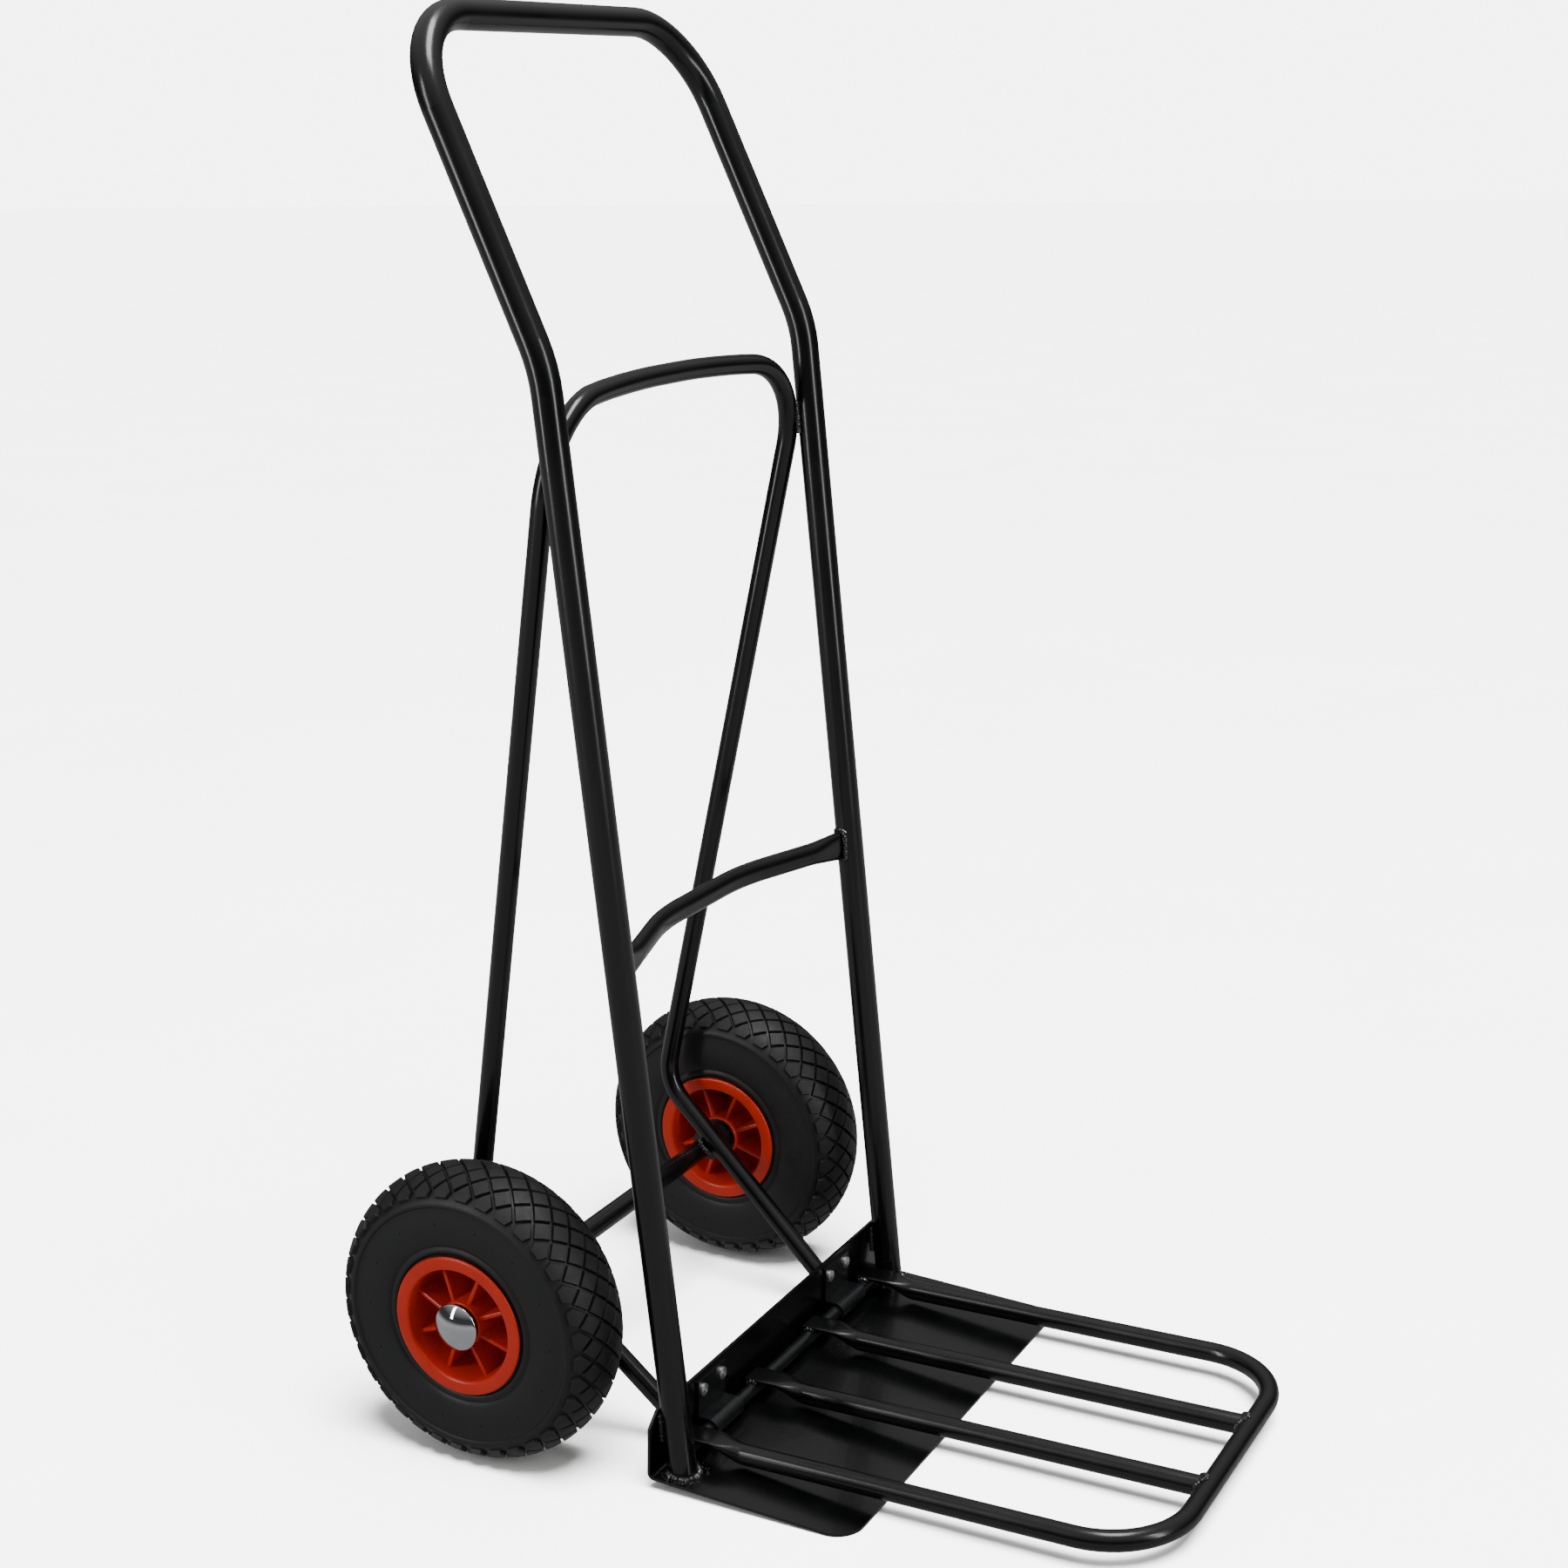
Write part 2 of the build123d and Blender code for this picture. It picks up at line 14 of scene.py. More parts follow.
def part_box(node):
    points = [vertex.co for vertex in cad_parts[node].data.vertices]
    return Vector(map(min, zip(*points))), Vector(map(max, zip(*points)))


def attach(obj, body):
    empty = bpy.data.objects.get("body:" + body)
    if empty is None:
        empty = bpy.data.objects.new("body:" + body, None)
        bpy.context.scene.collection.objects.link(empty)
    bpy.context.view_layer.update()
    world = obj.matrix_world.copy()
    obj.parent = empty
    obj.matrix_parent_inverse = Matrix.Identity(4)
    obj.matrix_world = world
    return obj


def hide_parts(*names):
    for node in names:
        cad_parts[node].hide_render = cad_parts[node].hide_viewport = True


LOG = logging.getLogger("hand_truck")
MM = 0.001  # metres in a millimetre
MERGE_DISTANCE = 1e-6  # corners nearer than this, in metres, become one
EDGE_SHARE = 0.45  # largest share of an edge that the rounding of one of its corners takes
PLATE_LEAN = 2.8  # degrees by which the toe plate and its flange lean forward
SMALL_TUBE_R = 8.75  # radius of the tube of the rear brace and the grate, in millimetres
Outline = Sequence[tuple[float, float]]
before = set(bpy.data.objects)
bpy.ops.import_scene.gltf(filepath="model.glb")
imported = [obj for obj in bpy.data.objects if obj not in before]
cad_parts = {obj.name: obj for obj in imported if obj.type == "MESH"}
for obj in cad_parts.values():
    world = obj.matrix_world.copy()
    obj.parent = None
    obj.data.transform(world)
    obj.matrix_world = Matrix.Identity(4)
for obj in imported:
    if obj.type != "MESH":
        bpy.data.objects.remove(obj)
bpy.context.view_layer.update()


class Side(Enum):
    """The two sides of the truck, with the sign of X on each."""

    LEFT = 1
    RIGHT = -1

    @property
    def label(self) -> str:
        """Ending of the names of this side's pieces."""
        return self.name.lower()

    @property
    def wheel_body(self) -> str:
        """Name of the body that this side's wheel belongs to."""
        return f"{self.label}_wheel"


# ---------------------------------------------------------------------------------------------
# Small tools
# ---------------------------------------------------------------------------------------------
def linear(hex_colour: str) -> tuple[float, float, float, float]:
    """Turn an sRGB hex colour into linear light.

    Args:
        hex_colour: Colour as six hex digits.

    Returns:
        Red, green, blue and an alpha of one.
    """
    parts = [int(hex_colour[i : i + 2], 16) / 255 for i in (0, 2, 4)]
    rgb = [c / 12.92 if c <= 0.04045 else ((c + 0.055) / 1.055) ** 2.4 for c in parts]
    return rgb[0], rgb[1], rgb[2], 1.0


def add_node(
    tree: bpy.types.NodeTree, kind: str, inputs: dict[Any, Any] | None = None, **settings: Any
) -> Any:
    """Add one node to a tree.

    Args:
        tree: Shader or geometry tree.
        kind: Blender's type name of the node.
        inputs: Value or output socket for each input, by name or number.
        settings: Properties of the node itself.

    Returns:
        The new node.
    """
    node = tree.nodes.new(kind)
    for key, value in settings.items():
        setattr(node, key, value)
    for key, value in (inputs or {}).items():
        if isinstance(value, bpy.types.NodeSocket):
            tree.links.new(value, node.inputs[key])
        else:
            node.inputs[key].default_value = value
    return node


def mesh_object(
    name: str, verts: Sequence[Sequence[float]], faces: Sequence[Sequence[int]]
) -> bpy.types.Object:
    """Make an object at the origin from corners and faces.

    Args:
        name: Name of the piece.
        verts: Corners in metres, in the truck's frame.
        faces: Corner numbers of each face.

    Returns:
        The linked object, smooth except at its sharp edges.
    """
    mesh = bpy.data.meshes.new(name)
    mesh.from_pydata([tuple(v) for v in verts], [], [tuple(f) for f in faces])
    return finish_mesh(name, mesh)


def finish_mesh(name: str, mesh: bpy.types.Mesh, sharp_angle: float = 38.0) -> bpy.types.Object:
    """Weld, turn outwards, smooth and link a mesh.

    Args:
        name: Name of the piece.
        mesh: Its mesh.
        sharp_angle: Edges bent by more degrees than this stay sharp.

    Returns:
        The linked object.
    """
    bm = bmesh.new()
    bm.from_mesh(mesh)
    bmesh.ops.remove_doubles(bm, verts=bm.verts, dist=MERGE_DISTANCE)
    bmesh.ops.recalc_face_normals(bm, faces=bm.faces)
    for face in bm.faces:
        face.smooth = True
    bm.to_mesh(mesh)
    bm.free()
    mesh.set_sharp_from_angle(angle=math.radians(sharp_angle))
    obj = bpy.data.objects.new(name, mesh)
    bpy.context.scene.collection.objects.link(obj)
    return obj


def ring_faces(rings: int, count: int, first: int = 0, closed: bool = False) -> list[tuple[int, ...]]:
    """List the four-sided faces between rings of corners that follow each other.

    Args:
        rings: Number of rings.
        count: Number of corners in each ring.
        first: Number of the first corner of the first ring.
        closed: Whether the last ring joins the first.

    Returns:
        Corner numbers of each face.
    """
    faces: list[tuple[int, ...]] = []
    for ring in range(rings if closed else rings - 1):
        here, ahead = first + ring * count, first + (ring + 1) % rings * count
        for i in range(count):
            j = (i + 1) % count
            faces.append((here + i, here + j, ahead + j, ahead + i))
    return faces


def lathe(name: str, outline: Outline, steps: int, place: Matrix, rounding: float = 0.0) -> bpy.types.Object:
    """Turn a closed outline about the Z axis and put it in place.

    Args:
        name: Name of the piece.
        outline: Radius and height of each corner, in millimetres.
        steps: Number of steps round the axis.
        place: Where the turned shape goes.
        rounding: Radius in millimetres by which corners are rounded.

    Returns:
        The linked object.
    """
    points = rounded(outline, rounding) if rounding else list(outline)
    verts = []
    for i in range(steps):
        angle = 2 * math.pi * i / steps
        for radius, height in points:
            verts.append(place @ Vector((radius * math.cos(angle), radius * math.sin(angle), height)))
    return mesh_object(name, verts, ring_faces(steps, len(points), closed=True))


def rounded(outline: Outline, radius: float, steps: int = 3) -> list[tuple[float, float]]:
    """Round the corners of a closed outline with short curves.

    Args:
        outline: Corners of the outline.
        radius: Largest distance from a corner at which its curve starts.
        steps: Number of pieces in each curve.

    Returns:
        The points of the rounded outline.
    """
    out: list[tuple[float, float]] = []
    count = len(outline)
    for i, here in enumerate(outline):
        corner, back, ahead = Vector(here), Vector(outline[i - 1]), Vector(outline[(i + 1) % count])
        a, b = back - corner, ahead - corner
        reach = min(radius, a.length * EDGE_SHARE, b.length * EDGE_SHARE)
        start, end = corner + a.normalized() * reach, corner + b.normalized() * reach
        for k in range(steps + 1):
            t = k / steps
            point = start * (1 - t) ** 2 + corner * 2 * t * (1 - t) + end * t**2
            out.append((point.x, point.y))
    return out


def to_plain_mesh(name: str, source: bpy.types.Object) -> bpy.types.Object:
    """Replace an object whose modifiers make its shape by a plain mesh of the result.

    Args:
        name: Name of the new piece.
        source: Object with its modifiers, which is removed.

    Returns:
        The plain object.
    """
    evaluated = source.evaluated_get(bpy.context.evaluated_depsgraph_get())
    mesh = bpy.data.meshes.new_from_object(evaluated)
    mesh.name = name
    bpy.data.objects.remove(source)
    return finish_mesh(name, mesh)


def on_body(obj: bpy.types.Object, body: str, slot: str, *nodes: str) -> bpy.types.Object:
    """Let a piece ride on a body and hide the solids that it stands for.

    Args:
        obj: The piece.
        body: Body that it moves with.
        slot: Not used.
        nodes: Solids that it replaces.

    Returns:
        The same piece.
    """
    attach(obj, body)
    if nodes:
        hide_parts(*nodes)
    LOG.info("%s rides on %s, %d faces", obj.name, body, len(obj.data.polygons))
    return obj


# ---------------------------------------------------------------------------------------------
# Finishes
# ---------------------------------------------------------------------------------------------
COLOUR_SPREAD = (0.35, 0.65)  # noise over which a finish goes from its first colour to its second
ROUGHNESS_SPREAD = (0.3, 0.7)  # noise over which it goes from its smoothest to its roughest
SPECKLE_SPREAD = (0.6, 0.72)  # grain over which dust or spatter starts to show
SPECKLE_COLOUR = "8a8880"


def noise(tree: bpy.types.NodeTree, place: Any, size_mm: float, detail: float, roughness: float) -> Any:
    """Add a noise of a given size in millimetres and return its value."""
    inputs = {"Vector": place, "Scale": 1000 / size_mm, "Detail": detail, "Roughness": roughness}
    return add_node(tree, "ShaderNodeTexNoise", inputs).outputs["Fac"]


def spread(tree: bpy.types.NodeTree, value: Any, taken: Sequence[float], given: Sequence[float]) -> Any:
    """Stretch a value from one range to another.

    Args:
        tree: Shader tree.
        value: Output socket with the value.
        taken: Limits that the value is taken between.
        given: Limits that the result lies between.

    Returns:
        Output socket with the result.
    """
    inputs = {"Value": value}
    for end, (start, goal) in zip(("Min", "Max"), zip(taken, given)):
        inputs[f"From {end}"], inputs[f"To {end}"] = start, goal
    return add_node(tree, "ShaderNodeMapRange", inputs).outputs["Result"]


def mix(tree: bpy.types.NodeTree, share: Any, first: Any, second: Any) -> Any:
    """Mix two colours and return the result."""
    return add_node(tree, "ShaderNodeMix", {0: share, 6: first, 7: second}, data_type="RGBA").outputs[2]


@dataclass(frozen=True)
class Finish:
    """A surface made of a base shader, slow colour change, fine grain and bump.

    The colour and roughness drift over patches, and the grain gives the bump and any speckle.
    """

    name: str
    colour: str
    second_colour: str
    roughness: tuple[float, float]
    patch_mm: float
    grain_mm: float
    bump_mm: float
    metallic: float = 0.0
    ior: float = 1.5
    coat: float = 0.0
    coat_roughness: float = 0.03
    speckle: float = 0.0

    def build(self) -> bpy.types.Material:
        """Make the material.

        Returns:
            The new material.
        """
        material = bpy.data.materials.new(self.name)
        material.use_nodes = True
        tree = material.node_tree
        shader = tree.nodes["Principled BSDF"]
        place = add_node(tree, "ShaderNodeTexCoord").outputs["Object"]
        patches = noise(tree, place, self.patch_mm, 4.0, 0.55)
        grain = noise(tree, place, self.grain_mm, 3.0, 0.6)
        share = spread(tree, patches, COLOUR_SPREAD, (0.0, 1.0))
        colour = mix(tree, share, linear(self.colour), linear(self.second_colour))
        if self.speckle:
            dust = spread(tree, grain, SPECKLE_SPREAD, (0.0, self.speckle))
            colour = mix(tree, dust, colour, linear(SPECKLE_COLOUR))
        rough = spread(tree, patches, ROUGHNESS_SPREAD, self.roughness)
        relief = {"Height": grain, "Strength": 1.0, "Distance": self.bump_mm * MM}
        bump = add_node(tree, "ShaderNodeBump", relief)
        tree.links.new(colour, shader.inputs["Base Color"])
        tree.links.new(rough, shader.inputs["Roughness"])
        tree.links.new(bump.outputs["Normal"], shader.inputs["Normal"])
        shader.inputs["Metallic"].default_value = self.metallic
        shader.inputs["Coat Weight"].default_value = self.coat
        shader.inputs["Coat Roughness"].default_value = self.coat_roughness
        if not self.metallic:
            shader.inputs["IOR"].default_value = self.ior
        return material


# Baked enamel over steel tube: deep black with a soft wet gloss and a faint orange peel.
ENAMEL = Finish("black_baked_enamel", "040505", "080909", (0.2, 0.28), 60.0, 2.2, 0.006, coat=0.12)
# The same enamel sprayed thinner over the clamps and the rod: greyer and duller, with the steel's grain.
THIN_ENAMEL = Finish("thin_grey_black_enamel", "0e1011", "151718", (0.2, 0.3), 14.0, 1.2, 0.01, coat=0.15)
# Enamel over weld metal: lumpy, with bright flecks where spatter stands through the paint.
WELD_ENAMEL = Finish(
    "enamel_over_weld", "0b0c0c", "2a2b2b", (0.12, 0.3), 3.0, 1.4, 0.12, coat=0.3, speckle=0.5
)
# Tread compound of natural rubber: charcoal, matt, a little dusty on the high spots.
TREAD_RUBBER = Finish("tread_rubber", "0c0d0d", "131414", (0.48, 0.64), 9.0, 0.9, 0.03, speckle=0.05)
# Sidewall rubber: the same charcoal, smoother from its polished mould, with broad soft shading.
WALL_RUBBER = Finish("sidewall_rubber", "0b0c0d", "111213", (0.44, 0.58), 26.0, 1.1, 0.012, speckle=0.03)
# Injection-moulded polypropylene, pigmented red-orange, with a soft moulded gloss.
RED_PLASTIC = Finish(
    "moulded_red_polypropylene", "cb240a", "d42c0f", (0.26, 0.36), 30.0, 1.5, 0.006, ior=1.46
)
# Black nylon washers and spacers: satin from the mould.
BLACK_NYLON = Finish("black_nylon", "0b0b0c", "121213", (0.32, 0.45), 8.0, 0.8, 0.01, ior=1.53)
# Bright chrome plate over pressed steel: a mirror with the slightest haze.
CHROME = Finish("chrome_plate", "d8dadd", "ccced2", (0.03, 0.06), 20.0, 2.0, 0.001, metallic=1.0)
# Zinc-plated screw steel: light grey metal, a little mottled.
ZINC = Finish("zinc_plate", "f0f0ec", "d2d3ce", (0.3, 0.42), 2.0, 0.5, 0.01, metallic=1.0)
# Cold-drawn steel rod, grey and slightly oily.
DRAWN_STEEL = Finish("drawn_steel", "8d8f90", "77797a", (0.3, 0.42), 6.0, 0.6, 0.01, metallic=1.0)
# Matt white paint of the studio floor, all but even, so that only soft shadows show on it.
FLOOR_PAINT = Finish("pale_floor", "f6f6f5", "f2f2f1", (0.8, 0.9), 400.0, 5.0, 0.01)


class Paintbox:
    """Builds each finish once and hands it out."""

    def __init__(self) -> None:
        """Start empty."""
        self._made: dict[str, bpy.types.Material] = {}

    def get(self, finish: Finish) -> bpy.types.Material:
        """Find the material of a finish, which is made on first use.

        Args:
            finish: The finish.

        Returns:
            Its one material.
        """
        if finish.name not in self._made:
            self._made[finish.name] = finish.build()
        return self._made[finish.name]

    def dress(self, obj: bpy.types.Object, finish: Finish) -> bpy.types.Object:
        """Give an object one finish all over.

        Args:
            obj: The object.
            finish: Its finish.

        Returns:
            The same object.
        """
        obj.data.materials.clear()
        obj.data.materials.append(self.get(finish))
        return obj

    def dress_nodes(self, finish: Finish, names: Iterable[str]) -> None:
        """Give solids that stay as they are one finish each."""
        for name in names:
            self.dress(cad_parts[name], finish)


# ---------------------------------------------------------------------------------------------
# Geometry trees
# ---------------------------------------------------------------------------------------------
class GeometryTree:
    """A Geometry Nodes tree with named inputs that is run once on a carrier object."""

    def __init__(self, name: str) -> None:
        """Start a tree with nothing but its output.

        Args:
            name: Name of the tree.
        """
        self.tree = bpy.data.node_groups.new(name, "GeometryNodeTree")
        self.tree.interface.new_socket("Geometry", in_out="OUTPUT", socket_type="NodeSocketGeometry")
        self.entry = self.tree.nodes.new("NodeGroupInput")
        self.values: dict[str, Any] = {}

    def size(self, name: str, value: Any, kind: str = "NodeSocketFloat") -> Any:
        """Add a named input.

        Args:
            name: Name of the input.
            value: Its value in this use.
            kind: Blender's socket type.

        Returns:
            The output socket inside the tree.
        """
        item = self.tree.interface.new_socket(name, in_out="INPUT", socket_type=kind)
        self.values[item.identifier] = value
        return self.entry.outputs[name]

    def add(self, kind: str, inputs: dict[Any, Any] | None = None, **settings: Any) -> Any:
        """Add a node to this tree."""
        return add_node(self.tree, kind, inputs, **settings)

    def maths(self, operation: str, *values: Any) -> Any:
        """Add a sum on up to three values and return its result."""
        return self.add("ShaderNodeMath", dict(enumerate(values)), operation=operation).outputs[0]

    def vector(self, **parts: Any) -> Any:
        """Add a vector made of its named parts X, Y and Z."""
        return self.add("ShaderNodeCombineXYZ", parts).outputs[0]

    def shape(self, name: str, source: bpy.types.Object) -> Any:
        """Bring in the shape of an object as a named input."""
        chosen = self.size(name, source, "NodeSocketObject")
        return self.add("GeometryNodeObjectInfo", {"Object": chosen}).outputs["Geometry"]

    def scatter(self, count: Any, position: Any, shape: Any, **more: Any) -> Any:
        """Set copies of a shape on points.

        Args:
            count: Number of points.
            position: Place of each point.
            shape: Shape to copy.
            more: Further inputs of the copying node, such as Rotation or Scale.

        Returns:
            Output socket with the copies.
        """
        points = self.add("GeometryNodePoints", {"Count": count, "Position": position}).outputs[0]
        inputs = {"Points": points, "Instance": shape, **more}
        return self.add("GeometryNodeInstanceOnPoints", inputs).outputs[0]

    def join(self, shapes: Iterable[Any]) -> Any:
        """Join shapes into one.

        Args:
            shapes: Output sockets of the shapes.

        Returns:
            Output socket with the joined shape.
        """
        joined = self.add("GeometryNodeJoinGeometry")
        for shape in shapes:
            self.tree.links.new(shape, joined.inputs[0])
        return joined.outputs[0]

    def run(self, name: str, geometry: Any, material: bpy.types.Material) -> bpy.types.Object:
        """End the tree, run it and turn the result into a plain mesh.

        Args:
            name: Name of the piece.
            geometry: Output socket with the finished shape.
            material: Material of the whole piece.

        Returns:
            The plain object.
        """
        real = self.add("GeometryNodeRealizeInstances", {0: geometry}).outputs[0]
        paint = self.size("Finish", material, "NodeSocketMaterial")
        dressed = self.add("GeometryNodeSetMaterial", {"Geometry": real, "Material": paint}).outputs[0]
        exit_node = self.tree.nodes.new("NodeGroupOutput")
        self.tree.links.new(dressed, exit_node.inputs[0])
        carrier = bpy.data.objects.new(name + "_carrier", bpy.data.meshes.new(name + "_carrier"))
        bpy.context.scene.collection.objects.link(carrier)
        modifier = carrier.modifiers.new("build", "NODES")
        modifier.node_group = self.tree
        for identifier, value in self.values.items():
            modifier[identifier] = value
        return to_plain_mesh(name, carrier)


def ring_of_copies(
    name: str,
    source: bpy.types.Object,
    count: int,
    place: Matrix,
    material: bpy.types.Material,
    turn: float = 0.0,
) -> bpy.types.Object:
    """Set copies of one shape at even steps round the Z axis.

    Args:
        name: Name of the piece.
        source: The shape, which is removed afterwards.
        count: Number of copies.
        place: Where the ring goes.
        material: Material of the piece.
        turn: Turn of the whole ring, in radians.

    Returns:
        The plain object.
    """
    made = GeometryTree(name + "_ring")
    copies = made.size("Copies", count, "NodeSocketInt")
    shape = made.shape("Shape", source)
    step = made.maths("DIVIDE", 2 * math.pi, copies)
    index = made.add("GeometryNodeInputIndex").outputs[0]
    angle = made.maths("ADD", made.maths("MULTIPLY", index, step), made.size("Turn", turn))
    placed = made.scatter(copies, (0.0, 0.0, 0.0), shape, Rotation=made.vector(Z=angle))
    piece = made.run(name, placed, material)
    piece.data.transform(place)
    bpy.data.objects.remove(source)
    return piece


# ---------------------------------------------------------------------------------------------
# Wheels
# ---------------------------------------------------------------------------------------------
def block(name: str, corners: Outline, depth: float, edge: float) -> bpy.types.Object:
    """Make one flat tread block with drafted sides, a rounded edge and a finely divided top.

    Args:
        name: Name of the shape.
        corners: Corners of its top, in millimetres.
        depth: How far it stands above the tyre, in millimetres.
        edge: Width of the rounded edge, in millimetres.

    Returns:
        The linked block, in metres, with its top at height zero.
    """
    outline: list[Vector] = []
    for i, here in enumerate(corners):
        ahead = corners[(i + 1) % len(corners)]
        outline += [Vector(here), (Vector(here) + Vector(ahead)) / 2]
    middle = sum(outline, Vector((0, 0))) / len(outline)
    size = max((p - middle).length for p in outline)
    # the sides widen by 0.9 mm to the foot, and a ring at 0.55 of the size divides the top
    draft, bevel, inner = 0.9 / size, 0.7 * edge / size, 0.55
    rings = [(1 + draft, -depth), (1.0, -edge), (1 - bevel, 0.0), (inner, 0.0)]
    verts, count = [], len(outline)
    for scale, height in rings:
        verts += [(*((middle + (p - middle) * scale) * MM), height * MM) for p in outline]
    verts.append((*(middle * MM), 0.0))
    faces = [tuple(range(count))[::-1], *ring_faces(len(rings), count)]
    top = (len(rings) - 1) * count
    faces += [(top + i, top + (i + 1) % count, len(verts) - 1) for i in range(count)]
    return mesh_object(name, verts, faces)


@dataclass
class Tyre:
    """A block-tread pneumatic tyre. Sizes are in millimetres, angles in degrees."""

    outer_r: float = 130.0
    section_r: float = 51.0
    crown_start: float = 4.0
    crown_step: float = 5.2
    crown_points: int = 9
    bead_r: float = 57.8
    steps: int = 144
    pitches: int = 36
    rows: int = 5
    row_step: float = 11.4
    groove: float = 2.7
    slant: float = 0.7
    depth: float = 3.2
    sunk: float = 0.8
    edge: float = 0.5
    lug: float = 6.4
    lug_shares: tuple[float, float] = (0.92, 0.62)
    vent_place_r: float = 90.0
    vent_rings: tuple[tuple[float, float], ...] = ((1.1, 35.4), (1.0, 36.7), (0.6, 36.95))
    vent_sides: int = 10
    vent_count: int = 14
    vent_turn: float = 0.2

    def outline(self) -> list[tuple[float, float]]:
        """Section of the tyre without its blocks.

        Returns:
            Radius and height of each point, right round the section.
        """
        floor = self.section_r - self.depth
        centre = self.outer_r - self.section_r
        turns = [math.radians(self.crown_start + self.crown_step * i) for i in range(self.crown_points)]
        crown = [(centre + floor * math.cos(a), floor * math.sin(a)) for a in turns]
        shoulder = [(110.6, 35.5), (108.6, 36.7), (106.6, 37.1), (105.2, 36.9), (104.6, 36.0), (104.0, 35.5)]
        wall = [(102.0, 35.5), (96.0, 35.9), (90.0, 36.2), (84.0, 36.2), (78.0, 35.8), (73.0, 35.1)]
        rim_rib = [(70.2, 34.4), (69.4, 33.7), (68.4, 33.9), (67.2, 34.5), (65.2, 34.8), (63.4, 34.2)]
        bead = [(62.6, 33.0), (self.bead_r, 33.0), (self.bead_r, 27.2)]
        inside = [(66.0, 28.5), (79.0, 31.5), (106.0, 31.0), (116.5, 21.0)]
        half = crown + shoulder + wall + rim_rib + bead + inside
        return half + [(r, -h) for r, h in reversed(half)]

    def carcass(self, name: str, place: Matrix) -> bpy.types.Object:
        """Turn the section round the axle."""
        return lathe(name, self.outline(), self.steps, place)

    def vents(self, name: str, place: Matrix, material: bpy.types.Material) -> bpy.types.Object:
        """Set the small trimmed vent stubs that the mould leaves round both walls of the tyre.

        Args:
            name: Name of the piece.
            place: Where the wheel goes.
            material: Material of the stubs.

        Returns:
            The plain object.
        """
        verts, faces, sides = [], [], self.vent_sides
        for sign in (1, -1):
            first = len(verts)
            for ring_r, height in self.vent_rings:
                for i in range(sides):
                    a = 2 * math.pi * i / sides
                    spot = (self.vent_place_r + ring_r * math.cos(a), ring_r * math.sin(a), sign * height)
                    verts.append(Vector(spot) * MM)
            last = len(verts) - sides
            faces += ring_faces(len(self.vent_rings), sides, first)
            faces += [tuple(range(first, first + sides)), tuple(range(last, last + sides))]
        stub = mesh_object("vent", verts, faces)
        return ring_of_copies(name, stub, self.vent_count, place, material, self.vent_turn)

    def blocks(self, pitch: float) -> tuple[bpy.types.Object, bpy.types.Object]:
        """Make one diamond of the tread and one lug of its shoulder.

        Args:
            pitch: Distance from block to block round the tyre.

        Returns:
            The diamond and the lug, both flat.
        """
        trim, tall = self.groove * self.slant, self.depth + self.sunk
        u, v = pitch / 2 - trim, self.row_step - trim
        diamond = block("tile", [(u, 0), (0, v), (-u, 0), (0, -v)], tall, self.edge)
        wide, narrow = (u * share for share in self.lug_shares)
        corners = [(0, -v), (wide, 0), (narrow, self.lug), (-narrow, self.lug), (-wide, 0)]
        return diamond, block("lug", corners, tall, self.edge)

    def tread(self, name: str, place: Matrix, material: bpy.types.Material) -> bpy.types.Object:
        """Lay flat blocks in rows and bend the sheet round the tyre.

        Args:
            name: Name of the piece.
            place: Where the wheel goes.
            material: Material of the blocks.

        Returns:
            The plain object.
        """
        pitch = 2 * math.pi * self.outer_r / self.pitches
        diamond, lug = self.blocks(pitch)
        middle_row = self.rows // 2
        made = GeometryTree(name + "_tree")
        step, row = made.size("Pitch", pitch * MM), made.size("Row step", self.row_step * MM)
        around = made.size("Blocks round", self.pitches, "NodeSocketInt")
        index = made.add("GeometryNodeInputIndex").outputs[0]
        column = made.maths("FLOORED_MODULO", index, around)
        line = made.maths("FLOOR", made.maths("DIVIDE", index, around))
        shift = made.maths("MULTIPLY", made.maths("FLOORED_MODULO", line, 2.0), 0.5)
        across = made.maths("MULTIPLY", made.maths("ADD", line, -float(middle_row)), row)
        along = made.maths("MULTIPLY", made.maths("ADD", column, shift), step)
        count = made.maths("MULTIPLY", around, float(self.rows))
        sheets = [made.scatter(count, made.vector(X=along, Y=across), made.shape("Tile", diamond))]
        lug_shape = made.shape("Lug", lug)
        for sign, turn in ((1, 0.0), (-1, math.pi)):
            beside = made.maths("MULTIPLY", made.maths("ADD", index, 0.5), step)
            outwards = made.maths("MULTIPLY", row, float((middle_row + 1) * sign))
            spots = made.vector(X=beside, Y=outwards)
            sheets.append(made.scatter(around, spots, lug_shape, Rotation=(0.0, 0.0, turn)))
        piece = made.run(name, self.bent(made, made.join(sheets)), material)
        piece.data.transform(place)
        for used in (diamond, lug):
            bpy.data.objects.remove(used)
        return piece

